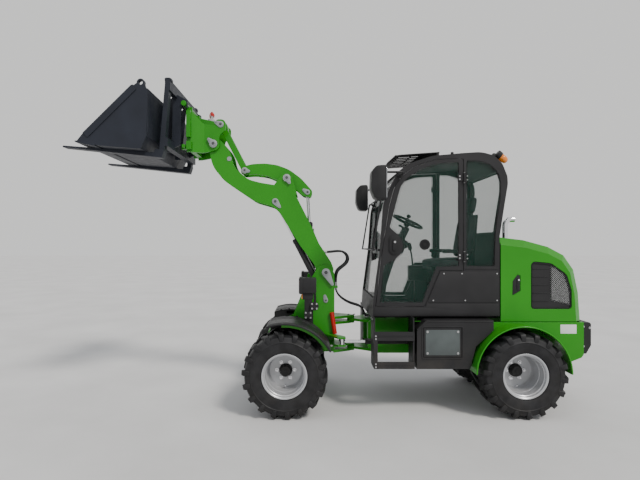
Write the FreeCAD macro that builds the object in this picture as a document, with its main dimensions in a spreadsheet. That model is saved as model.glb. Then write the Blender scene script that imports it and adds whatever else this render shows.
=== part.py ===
import FreeCAD, Part
import Sketcher
import math
import os

os.makedirs("parts", exist_ok=True)
doc = FreeCAD.newDocument("WheelLoader")
Vector = FreeCAD.Vector

# A compact articulated wheel loader with a fork frame and a bucket on its quick hitch.
# Millimetres. X points forward, Y to the machine's left, Z up, and Z = 0 is the ground.
# Shapes are drawn with X = 0 at the articulation; the nodes are then moved along X
# so that the finished machine is centred on the origin.

# Driving dimensions: alias, value, meaning
DRIVING_SIZES = [
    ("wheelbase", 2170, "front axle to rear axle"),
    ("front_axle_x", 660, "front axle ahead of the articulation"),
    ("rear_axle_x", "=front_axle_x - wheelbase", "rear axle"),
    ("tyre_diameter", 787, "tyre over its lugs"),
    ("tyre_width", 390, "tyre over its side walls"),
    ("lug_height", 24, "depth of the tread lugs"),
    ("width_over_tyres", 1460, "outer faces of the tyres"),
    ("rim_flange_radius", 208, "edge of the rim"),
    ("rim_seat_radius", 190, "seat of the tyre bead"),
    ("rim_disc_depth", 265, "wheel disc inboard of the tyre's outer face"),
    ("hub_cap_radius", 56, "hub cap"),
    ("nut_circle_radius", 84, "circle of the wheel nuts"),
    ("axle_tube_radius", 80, "axle housing"),
    ("cab_half_width", 500, "outer face of the cab side"),
    ("cab_wall", 40, "thickness of the cab's pillars and panels"),
    ("cab_floor_z", 907, "under side of the cab"),
    ("deck_z", 850, "parting line between lower body and hood"),
    ("door_gap", 5, "gap round a door or lid"),
    ("door_thickness", 28, "door frame"),
    ("glass_thickness", 6, "window panes"),
    ("fit_gap", 0.3, "gap at a soft or curved seat"),
    ("hood_rear_x", "=rear_axle_x - 638", "rear face of the hood"),
    ("hood_front_x", -1366, "front edge of the hood"),
    ("hood_sheet", 12, "hood wall"),
    ("hood_bevel", 70, "bevel of the hood's shoulders"),
    ("hood_hinge_x", "=hood_rear_x - 80", "hinge of the hood"),
    ("hood_hinge_z", 877, "hinge of the hood"),
    ("counterweight_rear_x", "=hood_rear_x - 126", "rearmost face"),
    ("beam_half_gap", 215, "inner faces of the rear frame's beams"),
    ("beam_plate", 20, "thickness of the frame plates"),
    ("beam_bottom_z", 500, "under side of the rear frame's beams"),
    ("beam_top_z", 850, "top of the rear frame's beams"),
    ("ear_pin_radius", 30, "articulation pins"),
    ("engine_half_width", 195, "engine block"),
    ("tower_inner_y", 152, "inner faces of the tower plates"),
    ("tower_plate", 18, "thickness of the tower plates"),
    ("tower_rear_x", 185, "rear edge of the tower"),
    ("boom_pivot_x", 271, "boom pivot"),
    ("boom_pivot_z", 1298, "boom pivot"),
    ("boom_inner_y", 126, "inner faces of the boom plates"),
    ("boom_plate", 18, "thickness of the boom plates"),
    ("pin_radius", 25, "main pins"),
    ("pin_play", 0.1, "radial play of the pins"),
    ("tip_x", 1406, "pin at the boom's tip"),
    ("tip_z", 2596, "pin at the boom's tip"),
    ("lift_pin_x", 785, "lift rod's pin on the boom"),
    ("lift_pin_z", 2017, "lift rod's pin on the boom"),
    ("lift_base_x", 272, "lift cylinder's base pin"),
    ("lift_base_z", 1016, "lift cylinder's base pin"),
    ("lift_cylinder_y", 90, "lift cylinders either side of the middle"),
    ("lift_barrel_radius", 28, "lift cylinders"),
    ("tilt_base_x", 410, "tilt cylinder's base pin"),
    ("tilt_base_z", 1270, "tilt cylinder's base pin"),
    ("tilt_barrel_radius", 33, "tilt cylinder"),
    ("rod_radius", 16, "piston rods"),
    ("lever_x", 668, "lever's pivot on the boom"),
    ("lever_z", 2256, "lever's pivot on the boom"),
    ("lever_front_x", 1101, "link's pin on the lever"),
    ("lever_front_z", 2339, "link's pin on the lever"),
    ("lever_rear_x", 458, "tilt rod's place on the lever"),
    ("lever_rear_z", 2117, "tilt rod's place on the lever"),
    ("lever_inner_y", 72, "inner faces of the lever's plates"),
    ("lever_plate", 20, "thickness of the lever's plates"),
    ("link_inner_y", 45, "inner faces of the link's bars"),
    ("link_plate", 20, "thickness of the link's bars"),
    ("carrier_top_x", 1335, "link's place on the hitch"),
    ("carrier_top_z", 2794, "link's place on the hitch"),
    ("steer_rear_x", -560, "steering cylinder's base"),
    ("steer_rear_y", 320, "steering cylinder's base"),
    ("steer_front_x", 120, "steering rod's eye"),
    ("steer_front_y", 340, "steering rod's eye"),
    ("steer_z", 635, "steering cylinder"),
    ("steer_barrel_radius", 27, "steering cylinder"),
    ("fork_half_spread", 500, "middle of each fork"),
    ("fork_width", 100, "forks"),
    ("fork_tip_x", 2736, "foremost point"),
    ("fork_tip_z", 2489, "underside of the tip"),
    ("fork_heel_x", 1812, "heel of the forks"),
    ("fork_heel_z", 2390, "underside of the heel"),
    ("bucket_half_width", 695, "bucket"),
    ("bucket_sheet", 10, "bucket wall"),
    ("mirror_x", -198, "middle of the mirrors"),
    ("mirror_y", 720, "middle of the mirrors"),
    ("mirror_z", 2130, "middle of the mirrors"),
    ("hook_x", 1668, "hitch's upper bar"),
    ("hook_z", 2965, "hitch's upper bar"),
    ("hook_radius", 22, "hitch's upper bar"),
    ("bucket_eye_x", 1957, "lifting eyes of the bucket"),
    ("bucket_eye_z", 3042, "lifting eyes of the bucket"),
]

sheet = doc.addObject("Spreadsheet::Sheet", "Sizes")
for row, (alias, value, meaning) in enumerate(DRIVING_SIZES, start=1):
    sheet.set("A%d" % row, meaning)
    sheet.set("B%d" % row, str(value))
    sheet.setAlias("B%d" % row, alias)
doc.recompute()

ALIASES = [alias for alias, value, meaning in DRIVING_SIZES]


def cell(alias):
    return float(sheet.get(alias))


def with_sheet(expression):
    """An expression on aliases, rewritten so that any object can use it."""
    words = []
    word = ""
    for letter in expression + " ":
        if letter.isalnum() or letter == "_":
            word += letter
        else:
            words.append("Sizes." + word if word in ALIASES else word)
            words.append(letter)
            word = ""
    return "".join(words).strip()


def value_of(size):
    """A number, or the present value of an expression on aliases."""
    if isinstance(size, str):
        result = sheet.evalExpression(size)
        return float(getattr(result, "Value", result))
    return float(size)


def bind(obj, prop, size):
    """Sets a property from a number, or binds it to an expression on the sheet."""
    if isinstance(size, str):
        obj.setExpression(prop, with_sheet(size))
    elif prop.startswith("Placement.Base."):
        base = obj.Placement.Base
        setattr(base, prop[-1], size)
        obj.Placement = FreeCAD.Placement(base, obj.Placement.Rotation)
    else:
        setattr(obj, prop, size)


def difference(high, low):
    if isinstance(high, str) or isinstance(low, str):
        return "(%s) - (%s)" % (high, low)
    return high - low


def block(name, x, y, z):
    """A box between pairs of low and high values."""
    obj = doc.addObject("Part::Box", name)
    for prop, (low, high) in (("Length", x), ("Width", y), ("Height", z)):
        bind(obj, prop, difference(high, low))
    for axis, (low, high) in (("x", x), ("y", y), ("z", z)):
        bind(obj, "Placement.Base." + axis, low)
    return obj


TURN_TO_AXIS = {
    "X": FreeCAD.Rotation(Vector(0, 1, 0), 90),
    "Y": FreeCAD.Rotation(Vector(1, 0, 0), -90),
    "Z": FreeCAD.Rotation(),
}


def rod(name, axis, x, y, z, radius):
    """A cylinder along X, Y or Z: the coordinate along the axis is a pair."""
    obj = doc.addObject("Part::Cylinder", name)
    spans = {"X": x, "Y": y, "Z": z}
    low, high = spans[axis]
    spans[axis] = low
    bind(obj, "Radius", radius)
    bind(obj, "Height", difference(high, low))
    obj.Placement = FreeCAD.Placement(Vector(), TURN_TO_AXIS[axis])
    for letter in "XYZ":
        bind(obj, "Placement.Base." + letter.lower(), spans[letter])
    return obj


def rounded_edges(points):
    """Lines and arcs of a closed outline of (a, b) or (a, b, radius) points."""
    corners = [[value_of(c) for c in point] for point in points]
    count = len(corners)
    starts, ends, arcs = [], [], []
    for i, corner in enumerate(corners):
        here = Vector(corner[0], corner[1], 0)
        radius = corner[2] if len(corner) > 2 else 0
        if not radius:
            starts.append(here)
            ends.append(here)
            arcs.append(None)
            continue
        before = Vector(corners[i - 1][0], corners[i - 1][1], 0) - here
        after = Vector(corners[(i + 1) % count][0], corners[(i + 1) % count][1], 0) - here
        half = before.getAngle(after) / 2
        reach = radius / math.tan(half)
        before.normalize()
        after.normalize()
        middle = before + after
        middle.normalize()
        centre = here + middle * (radius / math.sin(half))
        starts.append(here + before * reach)
        ends.append(here + after * reach)
        arcs.append(centre - middle * radius)
    edges = []
    for i in range(count):
        if arcs[i] is not None:
            edges.append(Part.Arc(starts[i], arcs[i], ends[i]))
        following = starts[(i + 1) % count]
        if (following - ends[i]).Length > 1e-6:
            edges.append(Part.LineSegment(ends[i], following))
    return edges


def sketch_on(body, plane, loops):
    """A sketch of closed outlines on one of the body's own origin planes."""
    sketch = body.newObject("Sketcher::SketchObject", body.Name + "_outline")
    origin_plane = [o for o in body.Origin.OriginFeatures if o.Role == plane + "_Plane"][0]
    sketch.AttachmentSupport = [(origin_plane, "")]
    sketch.MapMode = "FlatFace"
    for loop in loops:
        if isinstance(loop, dict):
            middle = Vector(value_of(loop["a"]), value_of(loop["b"]), 0)
            circle = Part.Circle(middle, Vector(0, 0, 1), value_of(loop["radius"]))
            number = sketch.addGeometry(circle, False)
            sketch.addConstraint(Sketcher.Constraint("Radius", number, value_of(loop["radius"])))
            if isinstance(loop["radius"], str):
                place_in_list = "Constraints[%d]" % (sketch.ConstraintCount - 1)
                sketch.setExpression(place_in_list, with_sheet(loop["radius"]))
            continue
        sketch.addGeometry(rounded_edges(loop), False)
    return sketch


def hole(a, b, radius):
    """A round opening, or a round outline, in a sketch."""
    return {"a": a, "b": b, "radius": radius}


def plate(name, plane, loops, span):
    """A padded outline. XZ: span along Y. XY: span along Z. YZ: span along X."""
    body = doc.addObject("PartDesign::Body", name)
    sketch = sketch_on(body, plane, loops)
    pad = body.newObject("PartDesign::Pad", name + "_pad")
    pad.Profile = (sketch, [""])
    bind(pad, "Length", difference(span[1], span[0]))
    base = {"XZ": ("y", span[1]), "XY": ("z", span[0]), "YZ": ("x", span[0])}[plane]
    bind(body, "Placement.Base." + base[0], base[1])
    return body


def turned(name, axis, profile, base):
    """A solid of revolution of (along, radius) points about an axis through base."""
    body = doc.addObject("PartDesign::Body", name)
    plane, axis_role = {"X": ("XZ", "X_Axis"), "Y": ("YZ", "Y_Axis"), "Z": ("XZ", "Z_Axis")}[axis]
    if axis == "Z":
        profile = [tuple([point[1], point[0]] + list(point[2:])) for point in profile]
    sketch = sketch_on(body, plane, [profile])
    spin = body.newObject("PartDesign::Revolution", name + "_turn")
    spin.Profile = (sketch, [""])
    line = [o for o in body.Origin.OriginFeatures if o.Role == axis_role][0]
    spin.ReferenceAxis = (line, [""])
    spin.Angle = 360
    for letter, size in zip("xyz", base):
        bind(body, "Placement.Base." + letter, size)
    return body


def pipe(name, points, radius, bend=None):
    """A round pipe or hose through 3-D points, with an arc at each corner.

    Without a bend radius each arc is as large as its two runs allow.
    """
    corners = [Vector(*point) for point in points]
    edges = []
    start = corners[0]
    for before, corner, after in zip(corners, corners[1:], corners[2:]):
        back = (before - corner).normalize()
        ahead = (after - corner).normalize()
        half = back.getAngle(ahead) / 2
        shorter = min((before - corner).Length, (after - corner).Length)
        reach = bend / math.tan(half) if bend else 0.45 * shorter
        arc = reach * math.tan(half)
        middle = (back + ahead).normalize()
        first, last = corner + back * reach, corner + ahead * reach
        top = corner + middle * (arc / math.sin(half) - arc)
        edges.append(Part.LineSegment(start, first).toShape())
        edges.append(Part.Arc(first, top, last).toShape())
        start = last
    edges.append(Part.LineSegment(start, corners[-1]).toShape())
    ring = Part.Wire(Part.makeCircle(radius, corners[0], corners[1] - corners[0]))
    obj = doc.addObject("Part::Feature", name)
    obj.Shape = Part.Wire(edges).makePipeShell([ring], True, True)
    return obj


def mirrored(obj):
    """The same piece on the other side of the machine's middle plane."""
    copy = doc.addObject("Part::Mirroring", obj.Name + "_mirrored")
    copy.Source = obj
    copy.Base = Vector(0, 0, 0)
    copy.Normal = Vector(0, 1, 0)
    return copy


def both(obj):
    return [obj, mirrored(obj)]


def fused(name, pieces):
    if len(pieces) == 1:
        return pieces[0]
    obj = doc.addObject("Part::MultiFuse", name)
    obj.Shapes = pieces
    return obj


def cut(name, base, tools):
    obj = doc.addObject("Part::Cut", name)
    obj.Base = base
    obj.Tool = fused(name + "_tools", tools)
    return obj


def common(name, first, second):
    obj = doc.addObject("Part::Common", name)
    obj.Base = first
    obj.Tool = second
    return obj


nodes = []


def node(label, pieces):
    """A named part of the machine, moved from the articulation's frame to the machine's."""
    obj = doc.addObject("Part::Compound", "node_" + label)
    obj.Links = pieces
    obj.Label = label
    bind(obj, "Placement.Base.x", "-(fork_tip_x + counterweight_rear_x) / 2")
    nodes.append(obj)
    return obj


def inset(points, distance):
    """The outline moved inwards by a distance, for outlines drawn clockwise or not."""
    corners = [(value_of(p[0]), value_of(p[1])) for p in points]
    count = len(corners)
    area = sum(corners[i - 1][0] * corners[i][1] - corners[i][0] * corners[i - 1][1]
               for i in range(count))
    side = 1 if area > 0 else -1
    moved = []
    for i in range(count):
        (ax, az), (bx, bz), (cx, cz) = corners[i - 1], corners[i], corners[(i + 1) % count]
        first = Vector(bx - ax, bz - az, 0).normalize()
        second = Vector(cx - bx, cz - bz, 0).normalize()
        normal_1 = Vector(-first.y, first.x, 0) * side
        normal_2 = Vector(-second.y, second.x, 0) * side
        middle = normal_1 + normal_2
        middle.normalize()
        step = middle * (distance / middle.dot(normal_1))
        rounding = [p[2] for p in points[i:i + 1] if len(p) > 2]
        moved.append(tuple([bx + step.x, bz + step.y] + rounding))
    return moved


# Wheels

TYRE_MIDDLE = "width_over_tyres / 2 - tyre_width / 2"
LUGS_PER_SIDE = 18


def lug(name, side, turn):
    """One slanted tread bar on a shoulder, standing out of the carcass."""
    half = cell("tyre_width") / 2
    top = cell("tyre_diameter") / 2
    foot = top - cell("lug_height") - 14
    outline = [(side * half, -26), (side * half, 26), (side * 0.06 * half, 78),
               (side * 0.06 * half, 42), (side * 0.55 * half, -10)]
    wire = Part.makePolygon([Vector(across, along, foot) for across, along in outline]
                            + [Vector(outline[0][0], outline[0][1], foot)])
    solid = Part.Face(wire).extrude(Vector(0, 0, top - foot + 6))
    solid.rotate(Vector(), Vector(0, 0, 1), 90)
    solid.rotate(Vector(), Vector(0, 1, 0), turn)
    return solid


def tyre(name, x, side):
    """Carcass of revolution with bars fused on, trimmed to the tyre's diameter."""
    half = cell("tyre_width") / 2
    outer = cell("tyre_diameter") / 2
    tread = outer - cell("lug_height")
    bead = cell("rim_seat_radius") + cell("fit_gap")
    flange = cell("rim_flange_radius")
    profile = [(-half + 25, bead), (-half + 25, flange), (-half, flange + 60), (-half, tread - 25),
               (-half + 30, tread), (half - 30, tread), (half, tread - 25), (half, flange + 60),
               (half - 25, flange), (half - 25, bead)]
    points = [Vector(0, y, r) for y, r in profile]
    carcass = Part.Face(Part.makePolygon(points + points[:1])).revolve(
        Vector(), Vector(0, 1, 0), 360)
    bars = []
    for number in range(LUGS_PER_SIDE):
        for lug_side in (-1, 1):
            turn = 360 / LUGS_PER_SIDE * (number + (0.25 if lug_side > 0 else -0.25))
            bars.append(lug(name, lug_side, turn))
    crown = Part.makeCylinder(outer, cell("tyre_width"), Vector(0, -half, 0), Vector(0, 1, 0))
    bars = Part.makeCompound(bars).common(crown)
    shape = carcass.fuse(bars.Solids)
    obj = doc.addObject("Part::Feature", name)
    obj.Shape = shape
    bind(obj, "Placement.Base.x", x)
    bind(obj, "Placement.Base.y", ("" if side > 0 else "-") + "(" + TYRE_MIDDLE + ")")
    bind(obj, "Placement.Base.z", "tyre_diameter / 2")
    return obj


def rim(name, x, side):
    """Rim barrel, dished disc, hub cap and nuts, drawn for the left side."""
    half = value_of("tyre_width / 2")
    seat = cell("rim_seat_radius")
    flange = cell("rim_flange_radius")
    disc = value_of("tyre_width / 2 - rim_disc_depth")
    cap = cell("hub_cap_radius")
    wall = 8
    edge = half - 25
    barrel = [(-edge - 9, seat - wall), (-edge - 9, flange), (-edge - 1, flange), (-edge - 1, seat),
              (edge + 1, seat), (edge + 1, flange), (edge + 9, flange), (edge + 9, seat - wall),
              (edge - 20, seat - wall), (disc + 30, seat - wall), (disc + 12, 157), (disc + 12, 0),
              (disc, 0), (disc, 150), (disc - 8, seat - wall)]
    body = turned(name + "_barrel", "Y", barrel, (0, 0, 0))
    hub = turned(name + "_hub", "Y", [(disc + 12, 0), (disc + 12, cap), (disc + 60, cap, 6),
                                      (disc + 66, cap * 0.6), (disc + 66, 0)], (0, 0, 0))
    nuts = []
    for number in range(6):
        angle = math.radians(60 * number + 30)
        reach = cell("nut_circle_radius")
        nuts.append(rod(name + "_nut%d" % number, "Y", reach * math.cos(angle),
                        (disc + 12, disc + 30), reach * math.sin(angle), 14))
    whole = fused(name, [body, hub] + nuts)
    obj = whole if side > 0 else mirrored(whole)
    holder = doc.addObject("Part::Compound", name + "_placed")
    holder.Links = [obj]
    bind(holder, "Placement.Base.x", x)
    bind(holder, "Placement.Base.y", ("" if side > 0 else "-") + "(" + TYRE_MIDDLE + ")")
    bind(holder, "Placement.Base.z", "tyre_diameter / 2")
    return holder


def wheels():
    for place_name, x in (("front", "front_axle_x"), ("rear", "rear_axle_x")):
        for side_name, side in (("left", 1), ("right", -1)):
            label = place_name + "_" + side_name
            node("rim_" + label, [rim("wheel_" + label, x, side)])
            node("tyre_" + label, [tyre("rubber_" + label, x, side)])


HUB_FACE = "width_over_tyres / 2 - rim_disc_depth"


def axle(label, x, bowl_radius, pad_top):
    """Housing tube with a bowl for the final drive, hub flanges and spring pads."""
    tube = rod(label + "_tube", "Y", x, ("-(%s - 40)" % HUB_FACE, "%s - 40" % HUB_FACE),
               "tyre_diameter / 2", "axle_tube_radius")
    bowl = rod(label + "_bowl", "Y", x, (-110, 110), "tyre_diameter / 2", bowl_radius)
    hubs = both(rod(label + "_hub", "Y", x, ("%s - 60" % HUB_FACE, "%s - fit_gap" % HUB_FACE),
                    "tyre_diameter / 2", 125))
    pads = both(block(label + "_pad", ("%s - 60" % x, "%s + 60" % x), (125, 240),
                      ("tyre_diameter / 2", pad_top)))
    node(label, [fused(label + "_all", [tube, bowl] + hubs + pads)])


# Rear frame

EAR_PLATE = 25
EAR_LEVELS = (510, 795)


def rear_chassis():
    beams = both(plate("beam", "XZ", [[(-145, 560), (-145, 800, 40), (-200, "beam_top_z"),
                                       ("hood_rear_x + 14", "beam_top_z"),
                                       ("hood_rear_x + 14", "beam_bottom_z"),
                                       (-200, "beam_bottom_z")]],
                       ("beam_half_gap", "beam_half_gap + beam_plate")))
    cross = []
    for number, x in enumerate((-200, "rear_axle_x + 220", "rear_axle_x - 620")):
        cross.append(block("beam_cross%d" % number, (x, "%s + 20" % x),
                           ("-beam_half_gap", "beam_half_gap"),
                           ("beam_bottom_z + 8", "beam_top_z - 8")))
    ears = []
    for number, z in enumerate(EAR_LEVELS):
        ear = plate("rear_ear%d" % number, "XY",
                    [[(-190, -214), (0, -75, 60), (75, 0, 70), (0, 75, 60), (-190, 214)],
                     hole(0, 0, "ear_pin_radius + pin_play")], (z, z + EAR_PLATE))
        ears.append(ear)
    bracket = fused("steer_base", [
        block("steer_base_low", ("steer_rear_x - 40", "steer_rear_x + 32"),
              ("beam_half_gap + beam_plate", "steer_rear_y + 34"), ("steer_z - 44", "steer_z - 30")),
        block("steer_base_high", ("steer_rear_x - 40", "steer_rear_x + 32"),
              ("beam_half_gap + beam_plate", "steer_rear_y + 34"), ("steer_z + 30", "steer_z + 44")),
        rod("steer_base_pin", "Z", "steer_rear_x", "steer_rear_y", ("steer_z - 44", "steer_z + 44"),
            14)])
    mounts = []
    for number, x in enumerate((-400, -1250)):
        mounts += both(block("cab_mount%d" % number, (x, x + 80),
                             ("beam_half_gap", "beam_half_gap + 80"),
                             ("beam_top_z", "cab_floor_z - 27")))
    for number, x in enumerate(("rear_axle_x - 390", "rear_axle_x + 60")):
        mounts += both(block("engine_mount%d" % number, (x, "%s + 60" % x),
                             ("engine_half_width", "beam_half_gap"), (600, 660)))
    node("rear_chassis", [fused("rear_chassis_all", beams + cross + ears + mounts + [bracket])])


def rear_machinery():
    node("engine_block", [block("engine", ("rear_axle_x - 460", "rear_axle_x + 125"),
                                ("-engine_half_width", "engine_half_width"), (530, 1240))])
    x = value_of("rear_axle_x - 16")
    route = [(x, 200, 1540), (x, 200, 1832), (x - 92, 200, 1832)]
    mouth = [(x, 200, 1790), (x, 200, 1832), (x - 95, 200, 1832)]
    stack = pipe("exhaust_stack", route, 27, 62)
    bore = pipe("exhaust_bore", mouth, 22, 41)
    silencer = rod("exhaust_box", "Z", "rear_axle_x - 16", 200, (1240, 1560), 62)
    node("exhaust", [cut("exhaust_cut", fused("exhaust_all", [stack, silencer]), [bore])])


def counterweight():
    outline = [("hood_rear_x", 830), ("counterweight_rear_x + 14", 830),
               ("counterweight_rear_x", 816), ("counterweight_rear_x", 610),
               ("counterweight_rear_x + 46", 530), ("hood_rear_x", 530)]
    weight = plate("counterweight_block", "XZ", [outline], (-400, 400))
    slot = block("tow_slot", ("counterweight_rear_x - 1", "counterweight_rear_x + 80"),
                 (-60, 60), (640, 700))
    pin_hole = rod("tow_hole", "Z", "counterweight_rear_x + 36", 0, (600, 831), 15)
    hinge = []
    for number, (low, high) in enumerate(((128, 148), (182, 202))):
        hinge += both(block("hinge_post%d" % number, ("hood_hinge_x - 12", "hood_hinge_x + 12"),
                            (low, high), (829, "hood_hinge_z + 12")))
    hinge += both(rod("hinge_pin", "Y", "hood_hinge_x", (128, 202), "hood_hinge_z", 6))
    return fused("counterweight_all", [cut("counterweight_cut", weight, [slot, pin_hole])] + hinge)


ARCH_RADIUS = "tyre_diameter / 2 + 31.5"
ARCH_Z = "tyre_diameter / 2 + 11.5"


def rear_body():
    axle_x = "rear_axle_x"
    front_x = "rear_axle_x + 246"
    outline = [(front_x, "deck_z - 1"), ("hood_rear_x", "deck_z - 1"), ("hood_rear_x", 545),
               ("hood_rear_x + 20", 515), ("rear_axle_x - 488", 464), (front_x, 464)]
    side = plate("lower_side", "XZ", [outline], ("cab_half_width - 14", "cab_half_width"))
    arch = rod("arch_cut", "Y", axle_x, ("cab_half_width - 15", "cab_half_width + 1"),
               ARCH_Z, ARCH_RADIUS)
    panel = cut("lower_panel", side, [arch])
    ring_out = rod("flange_out", "Y", axle_x, ("cab_half_width - 14", 690), ARCH_Z,
                   ARCH_RADIUS + " + 12")
    ring_in = rod("flange_in", "Y", axle_x, ("cab_half_width - 15", 691), ARCH_Z, ARCH_RADIUS)
    keep = block("flange_keep", ("rear_axle_x - 560", "rear_axle_x + 460"),
                 ("cab_half_width - 14", 690), (ARCH_Z, 900))
    flange = common("arch_flange", cut("flange_ring", ring_out, [ring_in]), keep)
    low_cut = block("flange_top_trim", (-2400, -1000), (400, 700), ("deck_z - 1", 1000))
    half = cut("lower_half", fused("lower_half_all", [panel, flange]), [low_cut])
    rear = block("rear_sheet", ("hood_rear_x", "hood_rear_x + 14"),
                 ("-cab_half_width + 14", "cab_half_width - 14"), (560, "deck_z - 1"))
    node("rear_body", [fused("rear_body_all", both(half) + [rear])])


def side_boxes():
    outline = [(-555, 800), (-640, 880), (-1262, 880), (-1262, 790), (-1100, 640), (-1045, 433),
               (-555, 433)]
    box = plate("side_box", "XZ", [outline], (360, 600))
    recess = block("side_recess", (-975, -609), (594, 601), (535, 819))
    inner = block("side_access", (-965, -619), (594, 600), (545, 809))
    whole = fused("side_box_all", [cut("side_box_cut", box, [recess]), inner])
    mounts = block("side_mount", (-1100, -700), ("beam_half_gap + beam_plate", 360), (700, 760))
    node("side_boxes", both(fused("side_box_mounted", [whole, mounts])))


STEP_TREADS = [("upper", 400, 698, 780), ("lower", 480, 441, 505)]


def steps():
    side = []
    for number, x in enumerate((-168, -528)):
        side.append(block("step_hanger%d" % number, (x, x + 12), (400, 618), (441, 905)))
    side.append(block("step_strip", (-190, -156), (618, 630), (441, 780)))
    for name, inner_y, bottom, top in STEP_TREADS:
        side.append(block("step_face_" + name, (-528, -156), (618, 630), (bottom, top)))
        side.append(block("step_tread_" + name, (-528, -156), (inner_y, 630), (bottom, bottom + 10)))
    node("steps", both(fused("step", side)))


# Cab

CAB_OUTLINE = [
    (-158, "cab_floor_z"), (-168, 1058), (-227, 1503), (-262, 1977, 400), (-342, 2159, 200),
    (-436, 2301, 120), (-540, 2357, 200), (-727, 2417, 400), (-1008, 2442), (-1183, 2453, 300),
    (-1304, 2420, 120), (-1383, 2342, 120), (-1430, 2225, 120), (-1434, 2150, 200), (-1400, 1942),
    (-1356, 1655), (-1356, "cab_floor_z")]
DOOR_OUTLINE = [
    (-190, 1000), (-649, 1000, 20), (-788, 1335), (-1012, 1335), (-1012, 2388, 20), (-745, 2378, 300),
    (-565, 2318, 200), (-440, 2225, 120), (-372, 2130, 200), (-322, 1950, 400), (-250, 1503)]
DOOR_WINDOW = [
    (-228, 1034, 12), (-264, 1386, 12), (-371, 1440, 40), (-432, 1497, 60), (-449, 1576, 60),
    (-421, 1653, 60), (-320, 1742, 25), (-374, 1945, 300), (-424, 2128, 150), (-485, 2206, 120),
    (-616, 2293, 200), (-771, 2345, 300), (-972, 2358, 20), (-972, 1375, 20), (-762, 1372, 15),
    (-628, 1034, 15)]


HINGE_LEVELS = ((1436, 1496), (2178, 2238))
QUARTER_WINDOW = [
    (-1044, 1376, 15), (-1308, 1376, 15), (-1316, 1675), (-1338, 1853), (-1364, 2009, 300),
    (-1368, 2175, 200), (-1338, 2268, 120), (-1266, 2336, 120), (-1149, 2372, 200), (-1044, 2370, 15)]
SCREEN_LINE = [(-169, 1070), (-227, 1503), (-262, 1977), (-342, 2159), (-420, 2276)]
REAR_LINE = [(-1361, 1690.3), (-1400, 1942), (-1430, 2140), (-1420, 2279.7)]


def cab_frame():
    outer = plate("cab_outer", "XZ", [CAB_OUTLINE], ("-cab_half_width", "cab_half_width"))
    room = plate("cab_room", "XZ", [inset(CAB_OUTLINE, cell("cab_wall"))],
                 ("-cab_half_width + cab_wall", "cab_half_width - cab_wall"))
    doorway = plate("doorway", "XZ", [inset(DOOR_OUTLINE, -cell("door_gap"))],
                    ("-cab_half_width - 1", "cab_half_width + 1"))
    quarter = plate("quarter_opening", "XZ", [QUARTER_WINDOW],
                    ("-cab_half_width - 1", "cab_half_width + 1"))
    front = plate("windscreen_opening", "XZ", [along_screen(80, -80)],
                  ("-cab_half_width + cab_wall", "cab_half_width - cab_wall"))
    rear = block("rear_opening", (-1480, -1300), (-420, 420), (1690, 2280))
    sill = block("sill", (-1356, -158), (-400, 400), (880, "cab_floor_z"))
    hinge_pins = []
    for number, (low, high) in enumerate(HINGE_LEVELS):
        for part, (foot, head) in enumerate(((low - 16, low - 0.5), (high + 0.5, high + 16))):
            hinge_pins += both(block("hinge_lug%d_%d" % (number, part), (-1040, -1012),
                                     ("cab_half_width - 2", "cab_half_width + 22"), (foot, head)))
        hinge_pins += both(rod("hinge_pin%d" % number, "Z", -1020, "cab_half_width + 12",
                               (low - 16, high + 16), 5))
    shell = cut("cab_shell", outer, [room, doorway, quarter, front, rear])
    node("cab_frame", [fused("cab_all", [shell, sill] + hinge_pins)])


def along_screen(front, back):
    """The windscreen's line as a band, from one offset along X to another."""
    return ([(x + front, z) for x, z in SCREEN_LINE]
            + [(x + back, z) for x, z in reversed(SCREEN_LINE)])


def cab_glass():
    panes = both(plate("quarter_pane", "XZ", [inset(QUARTER_WINDOW, 0.3)],
                       ("cab_half_width - 20", "cab_half_width - 20 + glass_thickness")))
    screen = plate("windscreen_pane", "XZ", [along_screen(-12, -18)],
                   ("-cab_half_width + cab_wall + 0.3", "cab_half_width - cab_wall - 0.3"))
    outside = [(x + 16, z) for x, z in REAR_LINE]
    inside = [(x + 16 + cell("glass_thickness"), z) for x, z in reversed(REAR_LINE)]
    rear = plate("rear_pane", "XZ", [outside + inside], (-419.7, 419.7))
    node("cab_glass", panes + [screen, rear])


def hole_outline(x, z, half_x, half_z):
    """A tall rounded outline about a middle."""
    round_end = half_x - 1
    return [(x - half_x, z - half_z, round_end), (x + half_x, z - half_z, round_end),
            (x + half_x, z + half_z, round_end), (x - half_x, z + half_z, round_end)]


def door(label, side):
    thickness = ("cab_half_width - door_thickness", "cab_half_width")
    frame = plate(label + "_frame", "XZ", [DOOR_OUTLINE, DOOR_WINDOW], thickness)
    knuckles, holes = [], []
    for number, (low, high) in enumerate(HINGE_LEVELS):
        knuckles.append(rod(label + "_knuckle%d" % number, "Z", -1020, "cab_half_width + 12",
                            (low, high), 10))
        knuckles.append(block(label + "_leaf%d" % number, (-1020, -960),
                              ("cab_half_width", "cab_half_width + 8"), (low, high)))
        holes.append(rod(label + "_pin_hole%d" % number, "Z", -1020, "cab_half_width + 12",
                         (low - 1, high + 1), 5.2))
    boss = plate(label + "_lock", "XZ", [hole_outline(-366, 1576, 58, 96)],
                 ("cab_half_width", "cab_half_width + 5"))
    catch = rod(label + "_catch", "Y", -649, ("cab_half_width - 12", "cab_half_width + 8"), 1580, 40)
    pane = fused(label + "_glazed", [
        plate(label + "_pane", "XZ", [inset(DOOR_WINDOW, 0.3)],
              ("cab_half_width - 18", "cab_half_width - 18 + glass_thickness")), catch])
    whole = cut(label + "_all", fused(label + "_parts", [frame, boss] + knuckles), holes)
    node(label, [whole if side > 0 else mirrored(whole)])
    node(label.replace("door", "door_glass"), [pane if side > 0 else mirrored(pane)])


STEERING_WHEEL = Vector(-590, 0, 1815)


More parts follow.
